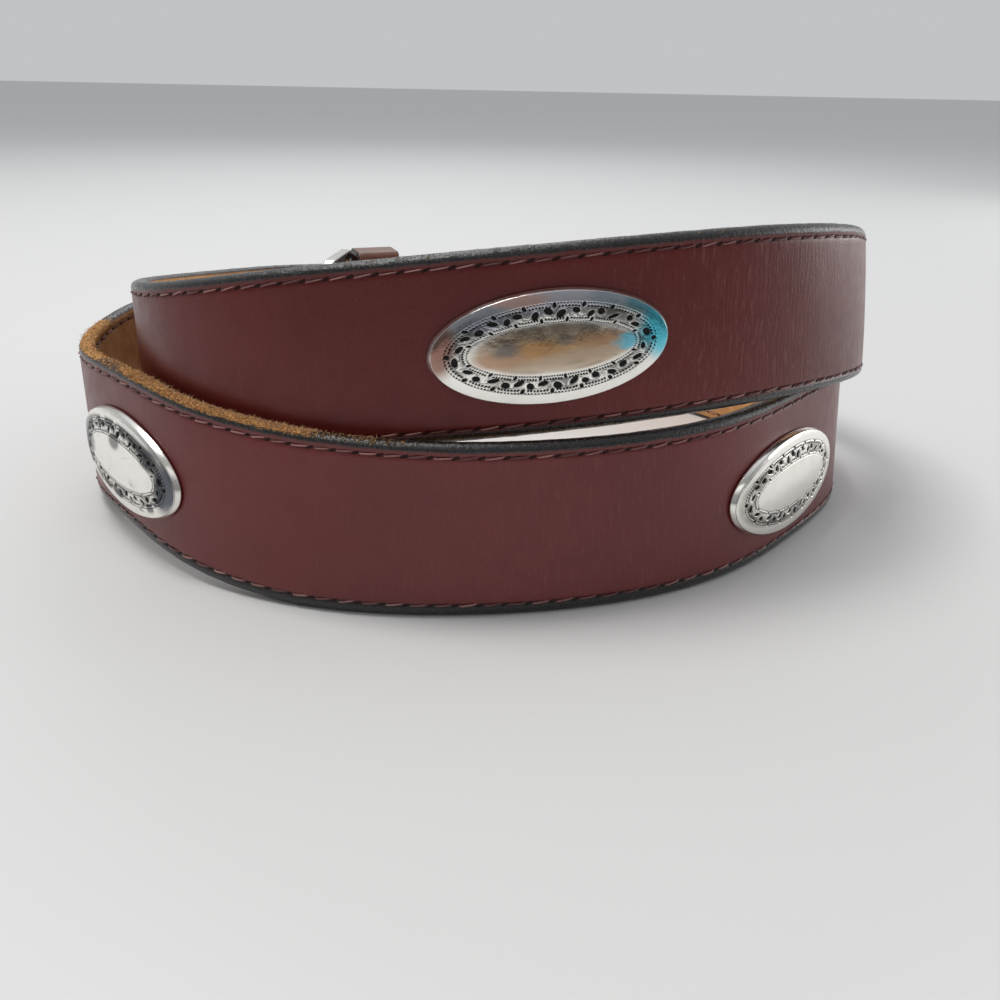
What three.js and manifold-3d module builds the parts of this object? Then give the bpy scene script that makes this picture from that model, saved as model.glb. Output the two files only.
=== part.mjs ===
// Studded leather belt: a two-ply stitched strap standing on its lower edge in a
// loose coil of two turns, six oval metal conchos, a leather keeper and a
// plain single-prong buckle on the inner end. Millimetres, +Z up, the table is z = 0.
import * as THREE from 'three';
import * as BufferGeometryUtils from 'three/addons/utils/BufferGeometryUtils.js';
import Module from 'manifold-3d';

const wasm = await Module();
wasm.setup();

// ---- driving dimensions ------------------------------------------------------
const STRAP_WIDTH = 38;        // height of the standing strap
const FACE_PLY = 2.2;          // dyed outer leather
const LINING_PLY = 1.5;        // tan inner leather
const PLY_GAP = 0.3;
const LINING_SHY = 0.3;        // the lining's edge, short of the outer ply's
const EDGE_ROUND = 1.3;        // burnished edge rounding
const STEP = 6;                // length of one facet along the strap
const STRAP_THICK = FACE_PLY + PLY_GAP + LINING_PLY;

const CONCHO_LENGTH = 50.4;
const CONCHO_HEIGHT = 23;
const CONCHO_RISE = 2.7;       // crown above the leather
const CONCHO_WALL = 1.5;       // plain flared side wall at the rim
const CONCHO_SEAT = 0.25;      // clearance under a concho
const POST_RADIUS = 2.0;
const POST_HEAD_RADIUS = 4.5;
const POST_HEAD = 1.0;
const POST_HOLE_RADIUS = 2.35;

const TIP_LENGTH = 22;         // rounded end of the strap
const HOLE_RADIUS = 2.5;
const HOLE_PITCH = 25.4;
const HOLE_COUNT = 5;
const HOLE_FROM_TIP = 76;

const HEEL_ARC = -8;           // the buckle's heel bar, measured along the path
const HEEL_DEPTH = 4.1;        // its axis, in from the strap's outer face
const HEEL_RADIUS = 1.6;
const FRAME_SWING = 64;        // degrees the frame has swung in from the strap's line
const FRAME_LENGTH = 38;
const FRAME_HEIGHT = 46.8;
const FRAME_BAR = 3.2;
const FRAME_THICK = 3.2;
const PRONG_RADIUS = 1.4;
const PRONG_EYE = 3.3;         // outer radius of the prong's eye
const PRONG_SLOT = 7;          // height of the slot in the fold

const KEEPER_WIDTH = 14;
const KEEPER_START = -5;
const KEEPER_THICK = 2.0;

// plan position of the coil's middle, which becomes the origin
const ORIGIN = { x: -5.369, y: 282.067 };

// ---- the strap's route -------------------------------------------------------
// x, y: outer face of the strap; lift: lower edge above the table;
// lean: degrees that the top leans outward. One row for each bend or so.
const ROUTE = [
  // x       y      lift  lean
  [-47.5, 347.5, 8.0, 0.0],      // buckle end, back of the inner turn
  [-12.5, 358.0, 3.5, -0.8],
  [21.3, 355.6, 0.0, -1.5],
  [52.3, 341.0, 0.0, -1.5],
  [77.2, 316.0, 0.0, -1.6],
  [91.4, 285.8, 0.0, -2.0],
  [92.2, 256.8, 0.0, -4.6],
  [75.0, 229.3, 0.0, -5.6],
  [51.9, 205.0, 0.0, -4.1],
  [22.3, 190.0, 0.0, -2.5],      // front of the lower turn
  [-11.1, 184.2, 0.0, -2.5],
  [-42.1, 187.1, 0.0, -7.0],
  [-70.5, 200.8, 1.9, -6.0],
  [-92.8, 223.6, 3.7, -3.2],
  [-109.7, 253.0, 2.7, 0.0],    // left side, outer turn
  [-109.3, 292.5, 4.3, 0.0],
  [-95.9, 331.0, 3.1, -1.2],
  [-70.0, 360.0, 2.5, -1.6],
  [-34.0, 376.5, 2.5, -1.6],
  [5.5, 379.5, 4.1, -1.5],       // back of the outer turn
  [43.0, 368.7, 8.9, -1.5],
  [72.8, 347.0, 15.1, -1.6],
  [92.4, 319.9, 21.1, -2.4],
  [101.1, 290.3, 27.3, -4.5],
  [96.5, 261.3, 33.0, -7.2],
  [80.9, 234.7, 37.3, -5.7],     // crossing over the lower turn
  [55.2, 211.4, 39.5, -4.2],
  [20.4, 196.1, 38.5, -4.2],     // front of the upper turn
  [-17.0, 192.5, 35.2, -3.4],
  [-50.6, 200.8, 30.2, -1.9],
  [-76.0, 217.6, 24.6, -0.4],
  [-90.8, 243.1, 20.0, -0.1],
  [-96.0, 276.3, 15.0, -1.4],
  [-88.0, 312.0, 10.5, -1.5],
  [-71.5, 343.0, 7.0, -1.6],
  [-43.5, 361.2, 4.5, -1.6],
  [-9.0, 368.6, 3.0, -1.6],
  [27.3, 364.8, 2.0, -1.6],      // loose tip
].map(([x, y, lift, lean]) => ({ x: x - ORIGIN.x, y: y - ORIGIN.y, lift, lean }));

// conchos along the route, from the buckle end; up is from the strap's middle
const CONCHOS = [
  { name: 'concho_1', arc: 70.0, up: -1.2 },
  { name: 'concho_2', arc: 245.0, up: -1.9 },
  { name: 'concho_3', arc: 426.5, up: -1.8 },
  { name: 'concho_4', arc: 602.0, up: -1.2 },
  { name: 'concho_5', arc: 778.5, up: -1.2 },
  { name: 'concho_6', arc: 954.9, up: -0.6 },
];

// the fold that holds the heel bar: arc along the route, depth of the ply's middle
const FOLD = [
  { arc: 44, depth: 5.45 },
  { arc: 30, depth: 5.45 },
  { arc: 14, depth: 5.5 },
  { arc: 6, depth: 6.2 },
  { arc: 0, depth: 6.9 },
  { arc: -5, depth: 7.1 },
];

// ---- route as a smooth curve -------------------------------------------------
// natural cubic spline through the rows of one column
function spline(values) {
  const n = values.length;
  const m = new Array(n).fill(0), c = new Array(n).fill(0), d = new Array(n).fill(0);
  for (let i = 1; i < n - 1; i++) {
    const w = 4 - (i > 1 ? c[i - 1] : 0);
    c[i] = 1 / w;
    d[i] = (6 * (values[i + 1] - 2 * values[i] + values[i - 1]) - (i > 1 ? d[i - 1] : 0)) / w;
  }
  for (let i = n - 2; i > 0; i--) m[i] = d[i] - c[i] * m[i + 1];
  return (t) => {
    if (t <= 0) return values[0] + t * (values[1] - values[0] - m[1] / 6);
    const i = Math.min(n - 2, Math.floor(t)), u = t - i;
    return values[i] * (1 - u) + values[i + 1] * u
      + ((u ** 3 - u) * m[i + 1] + ((1 - u) ** 3 - (1 - u)) * m[i]) / 6;
  };
}
const curve = {
  x: spline(ROUTE.map((r) => r.x)),
  y: spline(ROUTE.map((r) => r.y)),
  lift: spline(ROUTE.map((r) => r.lift)),
  lean: spline(ROUTE.map((r) => r.lean)),
};
const arcTable = [{ t: 0, arc: 0 }];
for (let t = 0.01; t <= ROUTE.length - 1 + 1e-9; t += 0.01) {
  const a = arcTable[arcTable.length - 1];
  const dx = curve.x(t) - curve.x(a.t), dy = curve.y(t) - curve.y(a.t);
  const dz = curve.lift(t) - curve.lift(a.t);
  arcTable.push({ t, arc: a.arc + Math.hypot(dx, dy, dz) });
}
const ROUTE_LENGTH = arcTable[arcTable.length - 1].arc;
function paramAt(arc) {
  if (arc <= 0) return arc / (arcTable[1].arc / 0.01);
  let lo = 0, hi = arcTable.length - 1;
  while (hi - lo > 1) {
    const mid = (lo + hi) >> 1;
    if (arcTable[mid].arc <= arc) lo = mid; else hi = mid;
  }
  const a = arcTable[lo], b = arcTable[hi];
  return a.t + (b.t - a.t) * Math.min(1, (arc - a.arc) / (b.arc - a.arc));
}
// frame of the strap at a distance along it
function station(arc) {
  const t = paramAt(arc), h = 0.02;
  const tx = curve.x(t + h) - curve.x(t - h), ty = curve.y(t + h) - curve.y(t - h);
  const len = Math.hypot(tx, ty);
  const lift = Math.max(0, curve.lift(Math.max(0, t)));
  const lean = Math.tan(THREE.MathUtils.degToRad(curve.lean(Math.max(0, t))));
  return {
    x: curve.x(t), y: curve.y(t), lift: lift < 0.06 ? 0 : lift,
    tx: tx / len, ty: ty / len, nx: -ty / len, ny: tx / len, lean,
  };
}
// a point given by arc, depth in from the outer face and height on the strap
function onStrap(arc, depth, height) {
  const s = station(arc);
  const out = -depth + s.lean * height;
  return new THREE.Vector3(s.x + s.nx * out, s.y + s.ny * out, s.lift + height);
}

// square to the leaning face of the strap
function faceNormal(s) {
  return new THREE.Vector3(s.nx, s.ny, -s.lean).normalize();
}

// ---- mesh helpers --------------------------------------------------------------
function toManifold(geometry) {
  const g = geometry.clone();
  g.deleteAttribute('normal');
  g.deleteAttribute('uv');
  const m = BufferGeometryUtils.mergeVertices(g, 1e-4);
  return new wasm.Manifold(new wasm.Mesh({
    numProp: 3,
    vertProperties: new Float32Array(m.attributes.position.array),
    triVerts: new Uint32Array(m.index.array),
  }));
}
function fromManifold(solid) {
  const mesh = solid.getMesh();
  const g = new THREE.BufferGeometry();
  g.setAttribute('position', new THREE.BufferAttribute(new Float32Array(mesh.vertProperties), 3));
  g.setIndex(new THREE.BufferAttribute(new Uint32Array(mesh.triVerts), 1));
  g.computeVertexNormals();
  return g;
}
// closed body through a list of equal rings of points
function loftRings(rings) {
  const n = rings[0].length;
  const positions = [], index = [];
  for (const ring of rings) for (const p of ring) positions.push(p.x, p.y, p.z);
  for (let i = 0; i < rings.length - 1; i++) {
    for (let j = 0; j < n; j++) {
      const a = i * n + j, b = i * n + (j + 1) % n, c = a + n, d = b + n;
      index.push(a, c, b, b, c, d);
    }
  }
  const last = (rings.length - 1) * n;
  for (let j = 1; j < n - 1; j++) {
    index.push(0, j, j + 1);
    index.push(last, last + j + 1, last + j);
  }
  const g = new THREE.BufferGeometry();
  g.setAttribute('position', new THREE.Float32BufferAttribute(positions, 3));
  g.setIndex(index);
  return g;
}

// ---- strap plies ---------------------------------------------------------------
// outline of a ply across the strap: a = across the thickness (+ is the finished
// side), q = up from the middle; half is half the strap's width there
function plySection(thick, round, half) {
  const t = thick / 2, r = Math.min(round, half * 0.8), k = Math.min(thick * 0.55, r * 0.85);
  return [
    { a: -t, q: -half }, { a: t - k, q: -half },
    { a: t - k * 0.42, q: -half + r * 0.16 }, { a: t - k * 0.1, q: -half + r * 0.5 },
    { a: t, q: -half + r }, { a: t, q: half - r },
    { a: t - k * 0.1, q: half - r * 0.5 }, { a: t - k * 0.42, q: half - r * 0.16 },
    { a: t - k, q: half }, { a: -t, q: half },
  ];
}
// half width of the strap near its rounded tip
function halfWidth(arc) {
  const d = ROUTE_LENGTH - arc;
  if (d >= TIP_LENGTH) return STRAP_WIDTH / 2;
  const k = (TIP_LENGTH - d) / TIP_LENGTH;
  return STRAP_WIDTH / 2 * Math.sqrt(Math.max(0.02, 1 - k ** 2.4));
}
// rows along a ply: position in plan, which way the finished side faces, half width
function sweepPly(rows, thick, round) {
  const rings = rows.map((row, i) => {
    const a = rows[Math.max(0, i - 1)], b = rows[Math.min(rows.length - 1, i + 1)];
    let tx = b.x - a.x, ty = b.y - a.y;
    const len = Math.hypot(tx, ty);
    tx /= len; ty /= len;
    return plySection(thick, round, row.half).map(({ a: across, q }) => {
      const height = STRAP_WIDTH / 2 + q;
      const side = row.side * across;
      return new THREE.Vector3(
        row.x - ty * side + row.nx * row.lean * height,
        row.y + tx * side + row.ny * row.lean * height,
        row.lift + height,
      );
    });
  });
  return loftRings(rows[0].side < 0 ? rings : rings.map((r) => r.slice().reverse()));
}
function plyRow(arc, depth, side, shy = 0) {
  const s = station(arc);
  return { ...s, x: s.x - s.nx * depth, y: s.y - s.ny * depth, side, half: halfWidth(arc) - shy };
}
function arcSteps(from, to) {
  const list = [];
  const n = Math.ceil((to - TIP_LENGTH - from) / STEP);
  for (let i = 0; i <= n; i++) list.push(from + (to - TIP_LENGTH - from) * i / n);
  for (const d of [15, 9.5, 5, 2, 0.4]) list.push(to - d);
  return list;
}

const faceRows = [];
for (const { arc, depth } of FOLD) faceRows.push(plyRow(arc, depth, 1));
for (let i = 0; i <= 8; i++) {
  // half a turn around the heel bar, from the inner leg to the outer leg
  const w = Math.PI * (i / 8);
  const r = HEEL_DEPTH - FACE_PLY / 2;
  faceRows.push(plyRow(HEEL_ARC - r * Math.sin(w), HEEL_DEPTH + r * Math.cos(w), 1));
}
for (const arc of arcSteps(-3, ROUTE_LENGTH)) faceRows.push(plyRow(arc, FACE_PLY / 2, 1));

const liningRows = [];
for (const arc of arcSteps(7, ROUTE_LENGTH)) {
  liningRows.push(plyRow(arc, STRAP_THICK - LINING_PLY / 2, -1, LINING_SHY));
}

// round cutter along the strap's normal
function holeCutter(arc, radius, reach = 14, up = 0) {
  const s = station(arc);
  const g = new THREE.CylinderGeometry(radius, radius, reach, 12);
  g.applyQuaternion(new THREE.Quaternion().setFromUnitVectors(
    new THREE.Vector3(0, 1, 0), faceNormal(s)));
  const p = onStrap(arc, STRAP_THICK / 2, STRAP_WIDTH / 2 + up);
  g.translate(p.x, p.y, p.z);
  return toManifold(g);
}
const tipHoles = [];
for (let i = 0; i < HOLE_COUNT; i++) {
  tipHoles.push(holeCutter(ROUTE_LENGTH - HOLE_FROM_TIP - i * HOLE_PITCH, HOLE_RADIUS, 8));
}
const postHoles = CONCHOS.map(({ arc, up }) => holeCutter(arc, POST_HOLE_RADIUS, 8, up));

// slot in the fold for the prong
const heel = onStrap(HEEL_ARC, HEEL_DEPTH, STRAP_WIDTH / 2);
const heelStation = station(HEEL_ARC);
const heelAngle = Math.atan2(heelStation.ty, heelStation.tx);
const slotGeometry = new THREE.BoxGeometry(17, 16, PRONG_SLOT);
slotGeometry.translate(-2.6, 0, 0);
slotGeometry.rotateZ(heelAngle);
slotGeometry.translate(heel.x, heel.y, heel.z);

function cutAll(solid, cutters) {
  return cutters.reduce((s, c) => s.subtract(c), solid);
}
const faceSolid = cutAll(toManifold(sweepPly(faceRows, FACE_PLY, EDGE_ROUND)),
  [...tipHoles, ...postHoles, toManifold(slotGeometry)]);
const liningSolid = cutAll(toManifold(sweepPly(liningRows, LINING_PLY, EDGE_ROUND * 0.8)),
  [...tipHoles, ...postHoles]);

// ---- conchos ---------------------------------------------------------------------
// profile from the middle of the crown to the rim and back under: r is a share of the
// half axes, rise is above the seat
const CONCHO_PROFILE = [
  { r: 0, rise: CONCHO_RISE },
  { r: 0.3, rise: CONCHO_RISE - 0.1 },
  { r: 0.52, rise: CONCHO_RISE - 0.35 },
  { r: 0.74, rise: CONCHO_RISE - 0.7 },
  { r: 0.9, rise: CONCHO_RISE - 1.0 },
  { r: 0.965, rise: CONCHO_WALL },
  { r: 1, rise: CONCHO_WALL - 1.0 },
  { r: 1, rise: 0 },
  { r: 0.8, rise: 0 },
  { r: 0.6, rise: 0 },
  { r: 0.4, rise: 0 },
  { r: 0.2, rise: 0 },
  { r: 0, rise: 0 },
];
function conchoGeometry(arc, middle) {
  const profile = CONCHO_PROFILE.map(({ r, rise }) => new THREE.Vector2(r, rise));
  const g = BufferGeometryUtils.mergeVertices((() => {
    const l = new THREE.LatheGeometry(profile, 40);
    l.deleteAttribute('normal');
    l.deleteAttribute('uv');
    return l;
  })(), 1e-4);
  const p = g.attributes.position;
  for (let i = 0; i < p.count; i++) {
    const along = p.getX(i) * CONCHO_LENGTH / 2, up = p.getZ(i) * CONCHO_HEIGHT / 2;
    const v = onStrap(arc - along, -(CONCHO_SEAT + p.getY(i)), STRAP_WIDTH / 2 + middle + up);
    // the strap's lift is taken at the concho's middle along its own slope
    p.setXYZ(i, v.x, v.y, v.z);
  }
  g.computeVertexNormals();
  return g;
}
function postGeometry(arc, middle) {
  const tail = STRAP_THICK + 0.3;
  const profile = [
    { r: 0, d: -CONCHO_SEAT + 0.3 }, { r: POST_RADIUS, d: -CONCHO_SEAT + 0.3 },
    { r: POST_RADIUS, d: tail }, { r: POST_HEAD_RADIUS, d: tail },
    { r: POST_HEAD_RADIUS, d: tail + POST_HEAD * 0.6 },
    { r: POST_HEAD_RADIUS * 0.85, d: tail + POST_HEAD }, { r: 0, d: tail + POST_HEAD },
  ];
  const g = new THREE.LatheGeometry(profile.map(({ r, d }) => new THREE.Vector2(r, -d)).reverse(), 16);
  const s = station(arc);
  g.applyQuaternion(new THREE.Quaternion().setFromUnitVectors(
    new THREE.Vector3(0, 1, 0), faceNormal(s)));
  const p = onStrap(arc, 0, STRAP_WIDTH / 2 + middle);
  g.translate(p.x, p.y, p.z);
  return g;
}

// ---- buckle ------------------------------------------------------------------------
// local frame: +X from the heel bar to the toe, +Y up, +Z towards the outer side
const swing = heelAngle + Math.PI + THREE.MathUtils.degToRad(FRAME_SWING);
const buckleMatrix = new THREE.Matrix4().makeBasis(
  new THREE.Vector3(Math.cos(swing), Math.sin(swing), 0),
  new THREE.Vector3(0, 0, 1),
  new THREE.Vector3(Math.sin(swing), -Math.cos(swing), 0),
).setPosition(heel);

function dOutline(length, height, corner, toe, start) {
  const s = new THREE.Shape();
  const h = height / 2;
  s.moveTo(start, -h + corner);
  s.quadraticCurveTo(start, -h, start + corner, -h);
  s.lineTo(length - toe, -h);
  s.bezierCurveTo(length - toe * 0.4, -h, length, -h + toe * 0.6, length, 0);
  s.bezierCurveTo(length, h - toe * 0.6, length - toe * 0.4, h, length - toe, h);
  s.lineTo(start + corner, h);
  s.quadraticCurveTo(start, h, start, h - corner);
  s.lineTo(start, -h + corner);
  return s;
}
const toeX = FRAME_LENGTH - HEEL_RADIUS;
const frameShape = dOutline(toeX, FRAME_HEIGHT, 2.2, 17, -HEEL_RADIUS - 0.15);
frameShape.holes.push(dOutline(toeX - 4.2, FRAME_HEIGHT - 2 * FRAME_BAR, 1.2, 15, HEEL_RADIUS + 1.2));
const plate = new THREE.ExtrudeGeometry(frameShape, {
  depth: FRAME_THICK - 1.2, bevelEnabled: true, bevelSize: 0.5, bevelThickness: 0.6,
  bevelSegments: 2, curveSegments: 14, bevelOffset: -0.5,
});
plate.translate(0, 0, -(FRAME_THICK - 1.2) / 2);
// the heel side of the plate is cut back and replaced by a round bar
const heelGap = new THREE.BoxGeometry(9, FRAME_HEIGHT - 2 * FRAME_BAR + 0.3, 8);
const heelBar = new THREE.CylinderGeometry(HEEL_RADIUS - 0.03, HEEL_RADIUS - 0.03, FRAME_HEIGHT - FRAME_BAR, 20);
heelBar.rotateY(0.07);
const frameSolid = toManifold(plate).subtract(toManifold(heelGap)).add(toManifold(heelBar));

const eye = new THREE.CylinderGeometry(PRONG_EYE, PRONG_EYE, 5.4, 24);
const eyeBore = new THREE.CylinderGeometry(HEEL_RADIUS + 0.25, HEEL_RADIUS + 0.25, 8, 24);
const prongEnd = { x: toeX + 1.2, z: FRAME_THICK / 2 + 0.3 + PRONG_RADIUS };
const prongStart = { x: 2.4, z: 1.2 };
const prongRun = new THREE.Vector3(prongEnd.x - prongStart.x, 0, prongEnd.z - prongStart.z);
const rod = new THREE.CylinderGeometry(PRONG_RADIUS * 0.85, PRONG_RADIUS, prongRun.length(), 12);
rod.translate(0, prongRun.length() / 2, 0);
rod.applyQuaternion(new THREE.Quaternion().setFromUnitVectors(
  new THREE.Vector3(0, 1, 0), prongRun.clone().normalize()));
rod.translate(prongStart.x, 0, prongStart.z);
const nose = new THREE.SphereGeometry(PRONG_RADIUS * 0.85, 12, 8);
nose.translate(prongEnd.x, 0, prongEnd.z);
const prongSolid = toManifold(eye).add(toManifold(rod)).add(toManifold(nose)).subtract(toManifold(eyeBore));

// ---- keeper --------------------------------------------------------------------------
// a closed leather loop around both plies and the fold, wide along the strap
const keeperMiddle = station(KEEPER_START + KEEPER_WIDTH / 2);
const keeperInner = { left: -9.0, right: 0.6, bottom: -1.2, top: STRAP_WIDTH + 2.2 };
function roundedRect(left, right, bottom, top, r) {
  const s = new THREE.Shape();
  s.moveTo(left + r, bottom);
  s.lineTo(right - r, bottom);
  s.quadraticCurveTo(right, bottom, right, bottom + r);
  s.lineTo(right, top - r);
  s.quadraticCurveTo(right, top, right - r, top);
  s.lineTo(left + r, top);
  s.quadraticCurveTo(left, top, left, top - r);
  s.lineTo(left, bottom + r);
  s.quadraticCurveTo(left, bottom, left + r, bottom);
  return s;
}
const k = KEEPER_THICK;
const keeperShape = roundedRect(keeperInner.left - k, keeperInner.right + k,
  keeperInner.bottom - k, keeperInner.top + k, 2.4);
keeperShape.holes.push(roundedRect(keeperInner.left, keeperInner.right,
  keeperInner.bottom, keeperInner.top, 0.6));
const keeperGeometry = new THREE.ExtrudeGeometry(keeperShape, {
  depth: KEEPER_WIDTH, steps: 1, bevelEnabled: false, curveSegments: 5,
});
keeperGeometry.translate(0, 0, -KEEPER_WIDTH / 2);
// shape x = outward, shape y = up, extrusion = back along the strap
keeperGeometry.applyMatrix4(new THREE.Matrix4().makeBasis(
  new THREE.Vector3(keeperMiddle.nx, keeperMiddle.ny, 0),
  new THREE.Vector3(0, 0, 1),
  new THREE.Vector3(keeperMiddle.tx, keeperMiddle.ty, 0),
).setPosition(keeperMiddle.x, keeperMiddle.y, keeperMiddle.lift));

// ---- scene graph -----------------------------------------------------------------------
const materials = {
  face: () => new THREE.MeshStandardMaterial({ color: 0x4a2220, roughness: 0.42, metalness: 0 }),
  lining: () => new THREE.MeshStandardMaterial({ color: 0xa8764a, roughness: 0.8, metalness: 0 }),
  keeper: () => new THREE.MeshStandardMaterial({ color: 0x5a2c20, roughness: 0.5, metalness: 0 }),
  silver: () => new THREE.MeshStandardMaterial({ color: 0xd8d6cf, roughness: 0.22, metalness: 1 }),
  post: () => new THREE.MeshStandardMaterial({ color: 0xb9b6ae, roughness: 0.35, metalness: 1 }),
};
const belt = new THREE.Group();
belt.name = 'studded_leather_belt';
function add(name, geometry, material, parent = belt) {
  const mesh = new THREE.Mesh(geometry, material);
  mesh.name = name;
  parent.add(mesh);
  return mesh;
}
add('strap_face', fromManifold(faceSolid), materials.face());
add('strap_lining', fromManifold(liningSolid), materials.lining());
for (const { name, arc, up } of CONCHOS) {
  add(name, conchoGeometry(arc, up), materials.silver());
  add(name.replace('concho', 'concho_post'), postGeometry(arc, up), materials.post());
}
add('keeper', keeperGeometry, materials.keeper());

const buckle = new THREE.Group();
buckle.applyMatrix4(buckleMatrix);
belt.add(buckle);
add('buckle_frame', fromManifold(frameSolid), materials.silver(), buckle);
add('buckle_prong', fromManifold(prongSolid), materials.post(), buckle);

belt.updateMatrixWorld(true);
export default belt;
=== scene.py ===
import math

import bmesh
import bpy
import numpy as np
from mathutils import Matrix, Vector


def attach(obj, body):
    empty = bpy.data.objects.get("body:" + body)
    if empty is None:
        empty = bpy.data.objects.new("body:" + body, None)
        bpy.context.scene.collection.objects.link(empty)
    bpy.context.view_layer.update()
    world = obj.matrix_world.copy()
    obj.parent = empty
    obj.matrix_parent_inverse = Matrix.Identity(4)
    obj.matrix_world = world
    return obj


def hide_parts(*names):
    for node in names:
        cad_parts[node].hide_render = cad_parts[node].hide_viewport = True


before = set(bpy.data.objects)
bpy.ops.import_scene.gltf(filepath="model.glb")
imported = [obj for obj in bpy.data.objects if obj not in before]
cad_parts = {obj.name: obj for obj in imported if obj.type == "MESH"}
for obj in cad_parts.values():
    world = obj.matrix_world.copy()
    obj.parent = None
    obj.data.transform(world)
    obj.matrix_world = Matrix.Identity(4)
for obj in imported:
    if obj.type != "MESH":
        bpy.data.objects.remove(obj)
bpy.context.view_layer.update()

MM = 0.001
rng = np.random.default_rng(4127)

# ---------------------------------------------------------------- the strap's route
# The same rows as the CAD: x, y of the outer face, lift of the lower edge, lean.
ORIGIN = (-5.369, 282.067)
ROUTE = np.array([
    (-47.5, 347.5, 8.0, 0.0), (-12.5, 358.0, 3.5, -0.8), (21.3, 355.6, 0.0, -1.5),
    (52.3, 341.0, 0.0, -1.5), (77.2, 316.0, 0.0, -1.6), (91.4, 285.8, 0.0, -2.0),
    (92.2, 256.8, 0.0, -4.6), (75.0, 229.3, 0.0, -5.6), (51.9, 205.0, 0.0, -4.1),
    (22.3, 190.0, 0.0, -2.5), (-11.1, 184.2, 0.0, -2.5), (-42.1, 187.1, 0.0, -7.0),
    (-70.5, 200.8, 1.9, -6.0), (-92.8, 223.6, 3.7, -3.2), (-109.7, 253.0, 2.7, 0.0),
    (-109.3, 292.5, 4.3, 0.0), (-95.9, 331.0, 3.1, -1.2), (-70.0, 360.0, 2.5, -1.6),
    (-34.0, 376.5, 2.5, -1.6), (5.5, 379.5, 4.1, -1.5), (43.0, 368.7, 8.9, -1.5),
    (72.8, 347.0, 15.1, -1.6), (92.4, 319.9, 21.1, -2.4), (101.1, 290.3, 27.3, -4.5),
    (96.5, 261.3, 33.0, -7.2), (80.9, 234.7, 37.3, -5.7), (55.2, 211.4, 39.5, -4.2),
    (20.4, 196.1, 38.5, -4.2), (-17.0, 192.5, 35.2, -3.4), (-50.6, 200.8, 30.2, -1.9),
    (-76.0, 217.6, 24.6, -0.4), (-90.8, 243.1, 20.0, -0.1), (-96.0, 276.3, 15.0, -1.4),
    (-88.0, 312.0, 10.5, -1.5), (-71.5, 343.0, 7.0, -1.6), (-43.5, 361.2, 4.5, -1.6),
    (-9.0, 368.6, 3.0, -1.6), (27.3, 364.8, 2.0, -1.6),
])
ROUTE[:, 0] -= ORIGIN[0]
ROUTE[:, 1] -= ORIGIN[1]


def smooth(a, b, x):
    u = np.clip((np.asarray(x, float) - a) / (b - a), 0, 1)
    return u * u * (3 - 2 * u)


def natural_spline(values):
    n = len(values)
    m = np.zeros(n)
    a = 4 * np.eye(n - 2) + np.eye(n - 2, k=1) + np.eye(n - 2, k=-1)
    m[1:-1] = np.linalg.solve(a, 6 * (values[2:] - 2 * values[1:-1] + values[:-2]))

    def at(t):
        t = np.asarray(t, float)
        i = np.clip(np.floor(t).astype(int), 0, n - 2)
        u = t - i
        inside = (values[i] * (1 - u) + values[i + 1] * u
                  + ((u ** 3 - u) * m[i + 1] + ((1 - u) ** 3 - (1 - u)) * m[i]) / 6)
        return np.where(t <= 0, values[0] + t * (values[1] - values[0] - m[1] / 6), inside)

    return at


cx, cy, clift, clean = (natural_spline(ROUTE[:, k]) for k in range(4))
_t = np.arange(0, len(ROUTE) - 1 + 1e-9, 0.01)
_seg = np.sqrt(np.diff(cx(_t)) ** 2 + np.diff(cy(_t)) ** 2 + np.diff(clift(_t)) ** 2)
_arc = np.concatenate([[0], np.cumsum(_seg)])
LENGTH = float(_arc[-1])


def station(arc):
    arc = np.asarray(arc, float)
    t = np.where(arc <= 0, arc / (_arc[1] / 0.01), np.interp(arc, _arc, _t))
    tx, ty = cx(t + 0.02) - cx(t - 0.02), cy(t + 0.02) - cy(t - 0.02)
    size = np.hypot(tx, ty)
    lift = np.maximum(0, clift(np.maximum(0, t)))
    lift = np.where(lift < 0.06, 0, lift)
    lean = np.tan(np.radians(clean(np.maximum(0, t))))
    return cx(t), cy(t), lift, -ty / size, tx / size, lean


def on_strap(arc, depth, height):
    """Points in mm: arc along the route, depth in from the outer face, height on the strap."""
    x, y, lift, nx, ny, lean = station(arc)
    out = -np.asarray(depth, float) + lean * height
    # the strap cups a little where it is bent tightest
    cup = 0.42 * (smooth(796, 822, arc) - smooth(882, 906, arc))
    out = out + cup * np.clip(1 - ((height - 19) / 19) ** 2, 0, 1)
    return np.stack([x + nx * out, y + ny * out, lift + height], -1)


# ---------------------------------------------------------------- small helpers
class Noise2:
    """Smooth value noise on a wrapped lattice, the same on every run."""

    def __init__(self, seed, size=256):
        self.v = np.random.default_rng(seed).random((size, size)) * 2 - 1
        self.size = size

    def one(self, x, y):
        i, j = np.floor(x).astype(int), np.floor(y).astype(int)
        u, w = x - i, y - j
        u, w = u * u * (3 - 2 * u), w * w * (3 - 2 * w)
        s = self.size
        a, b = self.v[i % s, j % s], self.v[(i + 1) % s, j % s]
        c, d = self.v[i % s, (j + 1) % s], self.v[(i + 1) % s, (j + 1) % s]
        return (a * (1 - u) + b * u) * (1 - w) + (c * (1 - u) + d * u) * w

    def __call__(self, x, y, octaves=1):
        out, k, total = 0, 1.0, 0
        for o in range(octaves):
            out = out + k * self.one(np.asarray(x, float) * 2 ** o + 17.3 * o,
                                     np.asarray(y, float) * 2 ** o + 5.1 * o)
            total += k
            k *= 0.5
        return out / total


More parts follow.
